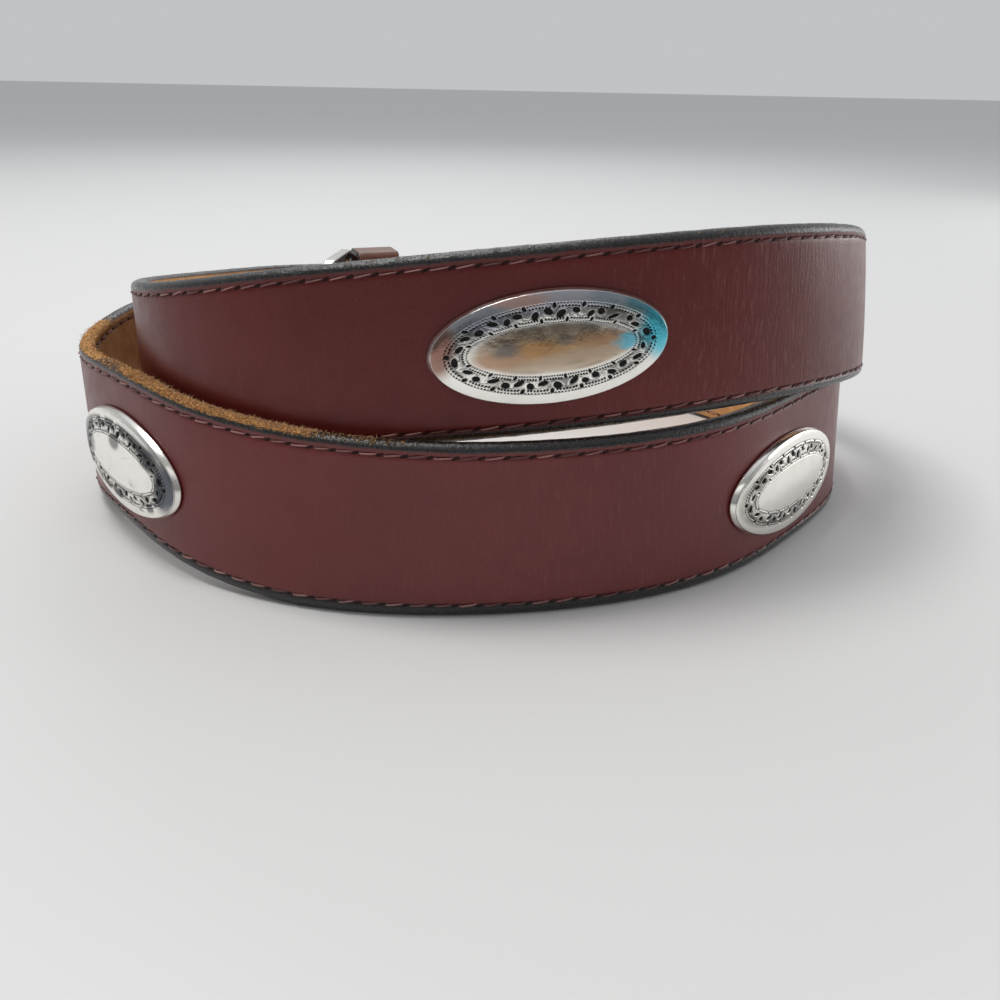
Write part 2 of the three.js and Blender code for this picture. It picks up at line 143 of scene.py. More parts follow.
def make_mesh(name, points, quads=(), tris=(), polys=(), fix_normals=True):
    """A smooth-shaded mesh object from points in mm."""
    me = bpy.data.meshes.new(name)
    faces = [np.asarray(q) for q in quads] + [np.asarray(t) for t in tris] + [np.asarray(p) for p in polys]
    points = np.asarray(points, float) * MM
    me.vertices.add(len(points))
    me.vertices.foreach_set("co", points.astype(np.float32).ravel())
    loops, starts, totals, at = [], [], [], 0
    for block in (quads, tris):
        block = np.asarray(block, int)
        if len(block):
            k = block.shape[1]
            loops.append(block.ravel())
            starts.append(at + k * np.arange(len(block)))
            totals.append(np.full(len(block), k))
            at += block.size
    for p in polys:
        loops.append(np.asarray(p, int))
        starts.append(np.array([at]))
        totals.append(np.array([len(p)]))
        at += len(p)
    loops, starts, totals = np.concatenate(loops), np.concatenate(starts), np.concatenate(totals)
    me.loops.add(len(loops))
    me.loops.foreach_set("vertex_index", loops.astype(np.int32))
    me.polygons.add(len(starts))
    me.polygons.foreach_set("loop_start", starts.astype(np.int32))
    me.update(calc_edges=True)
    me.validate()
    if fix_normals:
        bm = bmesh.new()
        bm.from_mesh(me)
        bmesh.ops.recalc_face_normals(bm, faces=bm.faces)
        bm.to_mesh(me)
        bm.free()
    me.polygons.foreach_set("use_smooth", np.ones(len(me.polygons), bool))
    me.update()
    obj = bpy.data.objects.new(name, me)
    bpy.context.scene.collection.objects.link(obj)
    return obj


def put(obj, name, values):
    """A point attribute for the material to read: floats, vectors or colours."""
    values = np.asarray(values, np.float32)
    kind = {1: "FLOAT", 2: "FLOAT_VECTOR"}[values.ndim]
    if values.ndim == 2 and values.shape[1] == 4:
        kind = "FLOAT_COLOR"
    a = obj.data.attributes.new(name, kind, "POINT")
    a.data.foreach_set({"FLOAT": "value", "FLOAT_VECTOR": "vector", "FLOAT_COLOR": "color"}[kind],
                       values.ravel())


class Graph:
    """Short names for building a material's node tree."""

    def __init__(self, name):
        self.mat = bpy.data.materials.new(name)
        self.mat.use_nodes = True
        self.tree = self.mat.node_tree
        self.bsdf = self.tree.nodes["Principled BSDF"]

    def node(self, kind, **props):
        n = self.tree.nodes.new(kind)
        for k, v in props.items():
            setattr(n, k, v)
        return n

    def feed(self, socket, value):
        if isinstance(value, bpy.types.NodeSocket):
            self.tree.links.new(value, socket)
        elif value is not None:
            if hasattr(socket.default_value, "__len__") and not hasattr(value, "__len__"):
                value = (value,) * len(socket.default_value)
            if hasattr(value, "__len__") and len(value) == 3 and len(socket.default_value) == 4:
                value = (*value, 1.0)
            socket.default_value = value

    def attribute(self, name, out="Fac"):
        return self.node("ShaderNodeAttribute", attribute_type="GEOMETRY", attribute_name=name).outputs[out]

    def math(self, op, a, b=None, c=None, clamp=False):
        n = self.node("ShaderNodeMath", operation=op, use_clamp=clamp)
        for i, v in enumerate((a, b, c)):
            if v is not None:
                self.feed(n.inputs[i], v)
        return n.outputs[0]

    def vec(self, op, a, b=None):
        n = self.node("ShaderNodeVectorMath", operation=op)
        self.feed(n.inputs[0], a)
        if b is not None:
            self.feed(n.inputs[1], b)
        return n.outputs[0]

    def split(self, v):
        n = self.node("ShaderNodeSeparateXYZ")
        self.feed(n.inputs[0], v)
        return n.outputs

    def join(self, x, y, z):
        n = self.node("ShaderNodeCombineXYZ")
        for i, v in enumerate((x, y, z)):
            self.feed(n.inputs[i], v)
        return n.outputs[0]

    def noise(self, vector, scale=1.0, detail=3.0, rough=0.5, distort=0.0):
        n = self.node("ShaderNodeTexNoise")
        self.feed(n.inputs["Vector"], vector)
        for k, v in (("Scale", scale), ("Detail", detail), ("Roughness", rough), ("Distortion", distort)):
            n.inputs[k].default_value = v
        return n.outputs["Fac"]

    def cells(self, vector, scale=1.0, feature="F1"):
        n = self.node("ShaderNodeTexVoronoi", feature=feature)
        self.feed(n.inputs["Vector"], vector)
        n.inputs["Scale"].default_value = scale
        return n.outputs["Distance"]

    def ramp(self, value, low, high, out_low=0.0, out_high=1.0):
        n = self.node("ShaderNodeMapRange", interpolation_type="SMOOTHSTEP")
        self.feed(n.inputs["Value"], value)
        n.inputs["From Min"].default_value, n.inputs["From Max"].default_value = low, high
        n.inputs["To Min"].default_value, n.inputs["To Max"].default_value = out_low, out_high
        return n.outputs[0]

    def mix(self, fac, a, b, blend="MIX"):
        n = self.node("ShaderNodeMix", data_type="RGBA", blend_type=blend)
        self.feed(n.inputs[0], fac)
        self.feed(n.inputs[6], a)
        self.feed(n.inputs[7], b)
        return n.outputs[2]

    def lerp(self, fac, a, b):
        n = self.node("ShaderNodeMix", data_type="FLOAT")
        self.feed(n.inputs[0], fac)
        self.feed(n.inputs[2], a)
        self.feed(n.inputs[3], b)
        return n.outputs[0]

    def bump(self, height, distance, strength=1.0, normal=None):
        n = self.node("ShaderNodeBump")
        n.inputs["Strength"].default_value = strength
        n.inputs["Distance"].default_value = distance
        self.feed(n.inputs["Height"], height)
        if normal is not None:
            self.feed(n.inputs["Normal"], normal)
        return n.outputs[0]

    def set(self, **values):
        for k, v in values.items():
            self.feed(self.bsdf.inputs[k.replace("_", " ")], v)
        return self.mat


# ---------------------------------------------------------------- strap
STRAP_HALF = 19.0
SEAM = 16.3                 # stitch line, up from the middle
STITCH = 5.2
TIP = 22.0
HEEL_ARC, HEEL_DEPTH, PLY = -8.0, 4.1, 2.2
FULL = 4.0


def half_width(arc):
    k = np.clip((TIP - (LENGTH - arc)) / TIP, 0, 1)
    return STRAP_HALF * np.sqrt(np.maximum(0.004, 1 - k ** 2.4))


centre_rows = [0, 1.5, 3.3, 4.5, 6, 7.5, 9, 10.5, 12, 13.5]
centre_rows = sorted({-r for r in centre_rows} | set(centre_rows))
outer_extra = [14.4, 15.2, 15.7, 15.95, 16.15, 16.3, 16.45, 16.65, 16.9, 17.3]
inner_extra = [14.4, 15.2, 15.9, 16.3, 16.7, 17.2, 17.6]
outer_rows = [-q for q in reversed(outer_extra)] + centre_rows + outer_extra
inner_rows = [q for q in reversed(inner_extra)] + list(reversed(centre_rows)) + [-q for q in inner_extra]
# ring of (share of the thickness, q, distance from the strap's edge), outer face first, upwards
ring = [(0.0, q, STRAP_HALF - abs(q)) for q in outer_rows]
# burnished edges are domed: the outer side falls off sooner than the inner side
out_w, in_w = np.radians([17, 34, 50, 65, 79]), np.radians([79, 63, 47, 31, 15])
dome_out = [(0.46 * (1 - math.cos(w)), 17.3 + 1.7 * math.sin(w), 1.7 * (1 - math.sin(w))) for w in out_w]
dome_in = [(1 - 0.54 * (1 - math.cos(w)), 17.6 + 1.4 * math.sin(w), 1.4 * (1 - math.sin(w))) for w in in_w]
ring += dome_out + [(0.46, 19.0, 0.0)] + dome_in
ring += [(1.0, q, STRAP_HALF - abs(q)) for q in inner_rows]
ring += [(f, -q, d) for f, q, d in reversed(dome_in)] + [(0.46, -19.0, 0.0)]
ring += [(f, -q, d) for f, q, d in reversed(dome_out)]
ring = np.array(ring)
M = len(ring)
row_outer = {q: j for j, q in enumerate(outer_rows)}
row_inner = {q: len(outer_rows) + 11 + j for j, q in enumerate(inner_rows)}

# columns: (arc of the finished face, its depth, inward step in arc, inward step in depth, path, thickness)
columns = []
fold_arc = np.array([-8, -5, 0, 6, 14, 30, 44.0])
fold_depth = np.array([7.1, 7.1, 6.9, 6.2, 5.5, 5.45, 5.45])
turn = math.pi * 3.05
for arc in np.arange(44, -7.9, -2.0):
    d = float(np.interp(arc, fold_arc, fold_depth)) * 0.5 + 0.25 * float(
        np.interp(arc - 2, fold_arc, fold_depth) + np.interp(arc + 2, fold_arc, fold_depth))
    columns.append((arc, d + PLY / 2, 0, -1, HEEL_ARC - turn - (arc - HEEL_ARC), PLY))
for w in np.linspace(0, math.pi, 17):
    columns.append((HEEL_ARC - HEEL_DEPTH * math.sin(w), HEEL_DEPTH + HEEL_DEPTH * math.cos(w),
                    math.sin(w), -math.cos(w), HEEL_ARC - (math.pi - w) * 3.05, PLY))
main = np.arange(-6, LENGTH - TIP, 2.0)
for arc in main:
    columns.append((arc, 0, 0, 1, arc, PLY + (FULL - PLY) * float(smooth(5, 13, arc))))
for f in np.linspace(0, 1, 14) ** 0.8:
    arc = LENGTH - TIP + (TIP - 0.15) * math.sin(f * math.pi / 2)
    if arc > main[-1] + 0.4:
        columns.append((arc, 0, 0, 1, arc, FULL))
columns = np.array(columns)
N = len(columns)
n_leg, n_heel = len(np.arange(44, -7.9, -2.0)), 17

col = np.repeat(columns, M, 0)
rg = np.tile(ring, (N, 1))
half = half_width(col[:, 0])
end = LENGTH - col[:, 0]
squeeze = np.where(end < 1.6, np.sqrt(np.maximum(0.05, 1 - (1 - end / 1.6) ** 2)), 1.0)
share = 0.5 + (rg[:, 0] - 0.5) * squeeze
thick = col[:, 5]
v_q = rg[:, 1] * half / STRAP_HALF
v_a = share * thick
v_rim = np.minimum(rg[:, 2] * half / STRAP_HALF, np.maximum(end * 0.9 - 0.2, 0))
v_path = col[:, 4]
v_arc = col[:, 0] + v_a * col[:, 2]
v_depth = col[:, 1] + v_a * col[:, 3]

ids = np.arange(N * M).reshape(N, M)
keep = np.ones((N - 1, M), bool)
extra = []                       # vertices of the round holes
wall_quads = []


def loop_of(i0, i1, rows, table):
    """Vertex ids round a patch of the grid, on one side of the strap."""
    js = [table[q] for q in rows]
    low = [(i, js[0]) for i in range(i0, i1)]
    right = [(i1, j) for j in js[:-1]]
    top = [(i, js[-1]) for i in range(i1, i0, -1)]
    left = [(i0, j) for j in js[:0:-1]]
    return [ids[i, j] for i, j in low + right + top + left]


def open_patch(i0, i1, rows):
    for i in range(i0, i1):
        for a, b in zip(rows[:-1], rows[1:]):
            keep[i, row_outer[a]] = False
            keep[i, row_inner[b]] = False
    return loop_of(i0, i1, rows, row_outer), loop_of(i0, i1, rows, row_inner)


def bridge(a, b):
    n = len(a)
    for k in range(n):
        wall_quads.append((a[k], a[(k + 1) % n], b[(k + 1) % n], b[k]))


# slot for the prong, round the fold
slot_rows = [q for q in centre_rows if abs(q) <= 3.31]
first = int(np.argmin(np.abs(columns[:n_leg, 0] + 2)))
last = n_leg + n_heel + int(np.argmin(np.abs(main + 2)))
outer_loop, inner_loop = open_patch(first, last, slot_rows)
bridge(outer_loop, inner_loop)

# five round holes at the tip end
hole_rows = [q for q in centre_rows if abs(q) <= 4.6]
for k in range(5):
    arc = LENGTH - 76 - 25.4 * k
    i_mid = n_leg + n_heel + int(round((arc - main[0]) / 2.0))
    i0, i1 = i_mid - 2, i_mid + 2
    outer_loop, inner_loop = open_patch(i0, i1, hole_rows)
    circles = []
    for loop, a, radius in ((outer_loop, 0.0, 2.75), (outer_loop, 0.35, 2.5), (inner_loop, FULL - 0.2, 2.5), (inner_loop, FULL, 2.65)):
        ring_ids = []
        for vid in loop:
            w = math.atan2(v_q[vid], v_path[vid] - arc)
            ring_ids.append(N * M + len(extra))
            extra.append((arc + radius * math.cos(w), radius * math.sin(w), a))
        circles.append(ring_ids)
    bridge(outer_loop, circles[0])
    bridge(circles[0], circles[1])
    bridge(circles[1], circles[2])
    bridge(circles[2], circles[3])
    bridge(circles[3], inner_loop)

extra = np.array(extra)
v_arc = np.concatenate([v_arc, extra[:, 0]])
v_path = np.concatenate([v_path, extra[:, 0]])
v_q = np.concatenate([v_q, extra[:, 1]])
v_a = np.concatenate([v_a, extra[:, 2]])
v_depth = np.concatenate([v_depth, extra[:, 2]])
v_rim = np.concatenate([v_rim, np.where((extra[:, 2] > 0.1) & (extra[:, 2] < 3.9), 0.3, 2.2)])
v_side = np.concatenate([rg[:, 0], extra[:, 2] / FULL])
thick = np.concatenate([thick, np.full(len(extra), FULL)])

# the stitch line in the plane of the strap: along both edges and round the tip
seam_w = np.linspace(0, math.pi / 2, 60)
tip_x = LENGTH - TIP + (TIP - 2.7) * np.sin(seam_w)
tip_q = SEAM * np.sqrt(np.maximum(0, 1 - np.sin(seam_w) ** 2.4))
tip_len = np.concatenate([[0], np.cumsum(np.hypot(np.diff(tip_x), np.diff(tip_q)))])
along = v_path.copy()
off = np.abs(v_q) - SEAM
near = np.where(v_path > LENGTH - TIP - 1)[0]
for k in near:
    d = np.hypot(tip_x - v_path[k], tip_q - abs(v_q[k]))
    b = int(np.argmin(d))
    if b > 0:
        along[k] = LENGTH - TIP + tip_len[b]
        inside = abs(v_q[k]) < tip_q[b] or v_path[k] < tip_x[b]
        off[k] = -d[b] if inside else d[b]

# shape of the leather: a pressed channel under the stitches, an uneven edge, slight waves
n_a, n_b, n_c = Noise2(11), Noise2(23), Noise2(37)
on_outer, on_inner = v_side < 0.02, v_side > 0.98
stitched = (v_path > 10)
sink = np.zeros(len(v_q))
sink += np.where(on_outer & stitched, 0.20 * np.exp(-(off / 0.42) ** 2), 0)
sink += np.where(on_inner & stitched, 0.14 * np.exp(-(off / 0.5) ** 2), 0)
swell = 0.05 * n_a(v_path * 0.11, v_q * 0.12, 2) * smooth(0.6, 3, v_rim)
direction = np.where(v_side > 0.5, -1.0, 1.0)          # + sinks the finished side inwards
v_depth_step = sink * direction - np.where(on_outer, swell, 0)
sign = np.where(v_path < HEEL_ARC, -1.0, 1.0)
in_bend = (v_path > HEEL_ARC - turn - 0.1) & (v_path < HEEL_ARC + 0.1)
v_depth = v_depth + np.where(in_bend, 0, v_depth_step * sign)
edge_zone = (v_rim < 0.9) & (np.abs(v_q) > 10)
v_q = v_q + np.where(edge_zone, np.sign(v_q) * (
    0.07 * n_b(v_path * 0.5, v_side * 2.2, 3) + 0.05 * n_c(v_path * 1.7, v_side * 5, 2)), 0)
# the lower edge stays on the table
v_q = np.maximum(v_q, -STRAP_HALF)
points = on_strap(v_arc, v_depth, STRAP_HALF + v_q)

jn = (np.arange(M) + 1) % M
ii, jj = np.nonzero(keep)
quads = np.stack([ids[ii, jj], ids[ii + 1, jj], ids[ii + 1, jn[jj]], ids[ii, jn[jj]]], -1)
quads = np.concatenate([quads, np.array(wall_quads)])
strap = make_mesh("strap_leather", points, quads=quads, polys=[ids[0], ids[-1][::-1]])

worn = smooth(364, 376, v_path) * (1 - 0.25 * smooth(404, 416, v_path)) * (1 - 0.75 * smooth(424, 438, v_path))
worn = worn + 0.34 * smooth(336, 350, v_path) * (1 - smooth(364, 376, v_path))
worn = worn + 0.75 * smooth(436, 446, v_path) * (1 - smooth(476, 492, v_path))
worn = np.clip(worn, 0, 1) * smooth(14, 18.0, v_q) * smooth(0.02, 0.20, v_side)
crease = np.exp(-((v_path - 903) / 30) ** 2) + 0.35 * np.exp(-((v_path - 300) / 45) ** 2) \
    + 0.5 * np.exp(-((v_path - 860) / 22) ** 2) + 0.3 * np.exp(-((v_path - 640) / 90) ** 2) \
    + 0.6 * np.exp(-((v_path - 1250) / 35) ** 2) + 0.12
put(strap, "strap_at", np.stack([v_path, v_q, v_a], -1))
put(strap, "strap_side", v_side)
put(strap, "strap_rim", v_rim)
put(strap, "strap_worn", worn)
put(strap, "strap_crease", np.clip(crease, 0, 1))
put(strap, "strap_seam", np.stack([along, off, np.where(stitched, 1.0, 0.0)], -1))


def strap_material():
    g = Graph("burgundy_strap_leather")
    at = g.attribute("strap_at", "Vector")
    s, q, a = g.split(at)
    side, rim = g.attribute("strap_side"), g.attribute("strap_rim")
    worn_at, crease_at = g.attribute("strap_worn"), g.attribute("strap_crease")
    seam = g.split(g.attribute("strap_seam", "Vector"))
    wide = g.noise(at, 0.022, 3, 0.55)
    mid = g.noise(at, 0.19, 4, 0.6)
    fine = g.noise(at, 2.1, 5, 0.62)
    pores = g.cells(at, 1.35)
    speck = g.noise(at, 1.15, 4, 0.7)
    lines = g.noise(g.join(g.math("MULTIPLY", s, 1.25), g.math("MULTIPLY", q, 0.16), a), 1.0, 4, 0.62, 0.5)
    hair = g.noise(g.join(g.math("MULTIPLY", s, 3.6), g.math("MULTIPLY", q, 0.30), a), 1.0, 3, 0.6, 0.8)

    # finished face
    face = g.mix(g.ramp(wide, 0.32, 0.68), (0.156, 0.0255, 0.0240), (0.192, 0.0340, 0.0325))
    face = g.mix(g.ramp(mid, 0.35, 0.75, 0.0, 0.25), face, (0.205, 0.046, 0.044))
    # past arc 560 (the upper turn) the same leather is painted darker: painted shade, since that turn gets less
    # light
    upper_turn_painted_shade = g.mix(g.ramp(wide, 0.32, 0.68), (0.114, 0.0110, 0.0085), (0.142, 0.0155, 0.0120))
    face = g.mix(g.ramp(s, 560, 700, 0.0, 0.8), face, upper_turn_painted_shade)
    grain = g.math("MULTIPLY", g.ramp(lines, 0.52, 0.74), crease_at)
    hairs = g.math("MULTIPLY", g.ramp(hair, 0.60, 0.74), g.math("MULTIPLY", crease_at, 0.8))
    face = g.mix(g.math("MULTIPLY", grain, 0.42), face, (0.300, 0.125, 0.105))
    face = g.mix(g.math("MULTIPLY", hairs, 0.62), face, (0.400, 0.190, 0.165))
    face = g.mix(g.ramp(g.math("ADD", fine, g.math("MULTIPLY", mid, 0.5)), 0.62, 1.02, 0.0, 0.25), face, (0.075, 0.010, 0.009))
    dust = g.ramp(g.noise(at, 1.9, 1, 0.5), 0.775, 0.82)
    face = g.mix(g.math("MULTIPLY", dust, 0.35), face, (0.420, 0.260, 0.230))

    # flesh side and lining
    tan = g.mix(g.ramp(mid, 0.3, 0.7), (0.620, 0.330, 0.135), (0.780, 0.470, 0.230))
    tan = g.mix(g.ramp(fine, 0.35, 0.75, 0.0, 0.35), tan, (0.420, 0.195, 0.072))
    tan_mask = g.math("MULTIPLY", g.ramp(side, 0.86, 0.99),
                      g.ramp(g.math("ADD", rim, g.math("MULTIPLY", speck, 0.9)), 0.75, 1.6))
    colour = g.mix(tan_mask, face, tan)

    # dyed and burnished edge; along the lower edge the black reaches higher, partly edge dye and partly painted
    # contact shade
    edge_wobble = g.math("MULTIPLY", g.math("SUBTRACT", mid, 0.5), 0.9)
    low_edge_dye_and_shade = g.math("MULTIPLY", g.ramp(q, -10.0, -14.0),
                      g.math("ADD", 0.45, g.math("MULTIPLY", g.ramp(s, 470, 410), g.ramp(s, 215, 260, 0.0, 0.75))))
    edge = g.ramp(g.math("SUBTRACT", g.math("ADD", rim, edge_wobble), low_edge_dye_and_shade), 2.05, 1.25)
    edge = g.math("MULTIPLY", edge, g.math("SUBTRACT", 1.0, tan_mask))
    black = g.mix(g.ramp(speck, 0.42, 0.72), (0.0070, 0.0065, 0.0070), (0.022, 0.020, 0.020))
    colour = g.mix(edge, colour, black)

    # worn open fibres on the inner half of the upper edge
    fibre = g.ramp(g.math("ADD", worn_at, g.math("MULTIPLY", g.math("SUBTRACT", speck, 0.5), 1.5)), 0.30, 0.55)
    fibre = g.math("MULTIPLY", fibre, g.ramp(worn_at, 0.03, 0.12))
    gold = g.mix(g.ramp(fine, 0.36, 0.66), (0.180, 0.068, 0.018), (0.940, 0.490, 0.150))
    colour = g.mix(fibre, colour, gold)

    # punched slots where the thread goes in, painted near-black as the shade inside the holes, and a painted shadow
    # line along the stitch channel
    f = g.math("SUBTRACT", g.math("FRACT", g.math("DIVIDE", seam[0], STITCH)), 0.5)
    ds = g.math("MULTIPLY", f, STITCH)
    across = g.math("ADD", seam[1], g.math("MULTIPLY", g.math("MULTIPLY", ds, 0.30), g.math("SIGN", q)))
    e = g.math("ADD", g.math("POWER", g.math("ABSOLUTE", g.math("DIVIDE", ds, 0.82)), 2.0),
               g.math("POWER", g.math("ABSOLUTE", g.math("DIVIDE", across, 0.33)), 2.0))
    shaded_slot = g.math("MULTIPLY", g.ramp(e, 1.35, 0.70), seam[2])
    colour = g.mix(g.math("MULTIPLY", shaded_slot, 0.97), colour, (0.008, 0.0015, 0.0015))
    shade = g.math("MULTIPLY", g.ramp(g.math("ABSOLUTE", seam[1]), 0.75, 0.1), g.math("MULTIPLY", seam[2], 0.40))
    colour = g.mix(shade, colour, (0.045, 0.0090, 0.0090))

    rough = g.lerp(g.ramp(mid, 0.3, 0.7), 0.30, 0.39)
    rough = g.lerp(edge, rough, g.lerp(g.ramp(speck, 0.4, 0.62), 0.11, 0.32))
    rough = g.lerp(tan_mask, rough, 0.78)
    rough = g.lerp(fibre, rough, 0.9)
    rough = g.lerp(shaded_slot, rough, 0.85)

    soft = g.math("SUBTRACT", 1.0, g.math("MAXIMUM", edge, tan_mask))
    h = g.math("MULTIPLY", g.ramp(pores, 0.0, 0.55), g.math("MULTIPLY", soft, 0.10))
    h = g.math("ADD", h, g.math("MULTIPLY", fine, g.math("ADD", 0.10, g.math("MULTIPLY", tan_mask, 0.5))))
    h = g.math("ADD", h, g.math("MULTIPLY", lines, g.math("MULTIPLY", crease_at, 0.55)))
    h = g.math("ADD", h, g.math("MULTIPLY", speck, g.math("ADD", g.math("MULTIPLY", edge, 1.2), g.math("MULTIPLY", fibre, 3.0))))
    h = g.math("SUBTRACT", h, g.math("MULTIPLY", shaded_slot, 1.6))
    h = g.math("ADD", h, g.math("MULTIPLY", mid, 0.35))
    normal = g.bump(h, 0.00022, 0.85)
    gloss = g.lerp(g.ramp(s, 560, 700), 0.42, 0.36)
    shine = g.lerp(edge, g.lerp(g.math("MAXIMUM", tan_mask, fibre), gloss, 0.12), 0.66)
    return g.set(Base_Color=colour, Roughness=rough, Normal=normal, Specular_IOR_Level=shine)


strap.data.materials.append(strap_material())
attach(strap, "belt")
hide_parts("strap_face", "strap_lining")


# ---------------------------------------------------------------- stitches
def seam_points(sigma, sign_):
    """(arc, q) on one stitch line at a distance along it."""
    tip_from = LENGTH - TIP
    on_tip = sigma > tip_from
    arc = np.where(on_tip, np.interp(sigma - tip_from, tip_len, tip_x), sigma)
    q = np.where(on_tip, np.interp(sigma - tip_from, tip_len, tip_q), SEAM)
    return arc, q * sign_


def stitch_mesh():
    around, steps = 6, 8
    pts, quads_, tris_, tone, at = [], [], [], [], 0
    total = LENGTH - TIP + tip_len[-1]
    first_k, last_k = math.ceil(14 / STITCH), math.floor(total / STITCH) - 1
    for sign_ in (1, -1):
        for k in range(first_k, last_k + 1):
            # slots are at (k + 0.5) * STITCH, threads run between two slots
            mid = k * STITCH + STITCH
            for face in ("outer", "inner"):
                reach = 1.98 + 0.1 * rng.standard_normal()
                u = np.linspace(-1, 1, steps)
                sigma = mid + u * reach
                if mid < 46 and face == "inner" and mid > 42:
                    continue
                arc, q = seam_points(sigma, sign_)
                slant = 0.24 if face == "outer" else -0.10
                q = q - slant * u * (1 + 0.3 * rng.standard_normal()) + 0.05 * rng.standard_normal()
                lift_ = 0.16 - 0.42 * np.abs(u) ** 4 + 0.03 * rng.standard_normal()
                radius = (0.190 + 0.02 * rng.standard_normal()) * (1 - 0.25 * np.abs(u) ** 3)
                if face == "outer":
                    depth = 0.12 - lift_
                    out = -1
                else:
                    base = FULL if mid > 46 else 6.55
                    depth = base - 0.10 + lift_
                    out = 1
                for i in range(steps):
                    w = 2 * math.pi * np.arange(around) / around
                    pts.append(on_strap(arc[i] + 0 * w, depth[i] + out * radius[i] * np.cos(w),
                                        STRAP_HALF + q[i] + radius[i] * np.sin(w)))
                    tone.append(np.full(around, rng.random() if i == 0 else tone[-1][0]))
                base_id = at
                for i in range(steps - 1):
                    for j in range(around):
                        j2 = (j + 1) % around
                        quads_.append((base_id + i * around + j, base_id + (i + 1) * around + j,
                                       base_id + (i + 1) * around + j2, base_id + i * around + j2))
                for j in range(1, around - 1):
                    tris_.append((base_id, base_id + j, base_id + j + 1))
                    e = base_id + (steps - 1) * around
                    tris_.append((e, e + j + 1, e + j))
                at += steps * around
    obj = make_mesh("stitches", np.concatenate(pts), quads=np.array(quads_), tris=np.array(tris_))
    put(obj, "thread_tone", np.concatenate(tone))
    return obj


stitches = stitch_mesh()
g = Graph("burgundy_thread")
tone = g.attribute("thread_tone")
pos = g.node("ShaderNodeTexCoord").outputs["Object"]
twist = g.noise(pos, 2600, 2, 0.6)
thread = g.mix(g.ramp(tone, 0.1, 0.9), (0.130, 0.038, 0.038), (0.420, 0.200, 0.180))
thread = g.mix(g.ramp(twist, 0.4, 0.7, 0.0, 0.45), thread, (0.110, 0.030, 0.030))
stitches.data.materials.append(g.set(
    Base_Color=thread, Roughness=0.52, Normal=g.bump(twist, 0.00008, 0.8),
    Sheen_Weight=0.15, Sheen_Roughness=0.5))
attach(stitches, "belt")


# ---------------------------------------------------------------- fuzz on the upper edge
def fibre_mesh(name, count, arcs, shares, length, width, spread, tones):
    u = rng.random(count)
    arc = arcs(u)
    a = shares(rng.random(count)) * FULL
    long_ = length[0] + (length[1] - length[0]) * rng.random(count) ** 1.6
    wide = width[0] + (width[1] - width[0]) * rng.random(count)
    up = 0.35 + 0.65 * rng.random(count)
    side_dir = spread * rng.standard_normal(count)
    in_dir = spread * rng.standard_normal(count) + 0.25 * (a / FULL - 0.5)
    pts, tris_, tone_ = [], [], []
    f_out, f_in = np.clip(1 - a / 1.84, 0, 1), np.clip((a - 1.84) / 2.16, 0, 1)
    drop = 1.7 * (1 - np.sqrt(1 - f_out ** 2)) + 1.4 * (1 - np.sqrt(1 - f_in ** 2))
    levels = ((0.0, 1.0), (0.55, 0.8), (1.0, 0.12))
    for f, k in levels:
        for w in (0.3, 2.4, 4.5):
            pts.append(on_strap(
                arc + side_dir * long_ * f + k * wide * np.cos(w),
                a + in_dir * long_ * f * (0.6 + 0.6 * f) + k * wide * np.sin(w),
                2 * STRAP_HALF - 0.12 - drop + up * long_ * f * (1 - 0.35 * f)))
    pts = np.stack(pts, 1)
    for lv in range(2):
        for j in range(3):
            p, r = lv * 3 + j, lv * 3 + (j + 1) % 3
            tris_ += [(p, r, p + 3), (r, r + 3, p + 3)]
    tris_.append((6, 7, 8))
    tris_ = np.array(tris_)
    all_tris = (tris_[None] + 9 * np.arange(count)[:, None, None]).reshape(-1, 3)
    obj = make_mesh(name, pts.reshape(-1, 3), tris=all_tris)
    put(obj, "fibre_tone", np.repeat(tones(rng.random(count)), 9))
    return obj


def worn_arcs(u):
    return np.where(u < 0.68, 366 + 60 * (u / 0.68),
                    np.where(u < 0.84, 436 + 48 * (u - 0.68) / 0.16,
                             np.where(u < 0.86, 352 + 14 * (u - 0.84) / 0.02, 415 + 24 * (u - 0.86) / 0.14)))


gold_fibres = fibre_mesh("worn_edge_fibres", 8200, worn_arcs, lambda u: 0.07 + 0.90 * u,
                         (0.25, 1.10), (0.06, 0.13), 0.62, lambda u: 0.25 + 0.75 * u ** 0.8)
dark_fibres = fibre_mesh("edge_fuzz", 2800,
                         lambda u: np.where(u < 0.6, 880 + 70 * (u / 0.6),
                                            200 + 1040 * (u - 0.6) / 0.4),
                         lambda u: 0.12 + 0.8 * u, (0.12, 0.42), (0.03, 0.06), 0.6,
                         lambda u: 0.12 * u)
g = Graph("leather_fibre")
tone = g.attribute("fibre_tone")
fibre_colour = g.mix(g.ramp(tone, 0.0, 0.25), (0.014, 0.012, 0.012), (0.300, 0.125, 0.038))
fibre_colour = g.mix(g.ramp(tone, 0.3, 1.0), fibre_colour, (0.930, 0.520, 0.175))
fibre_mat = g.set(Base_Color=fibre_colour, Roughness=0.85, Sheen_Weight=0.3)
for obj in (gold_fibres, dark_fibres):
    obj.data.materials.append(fibre_mat)
    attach(obj, "belt")

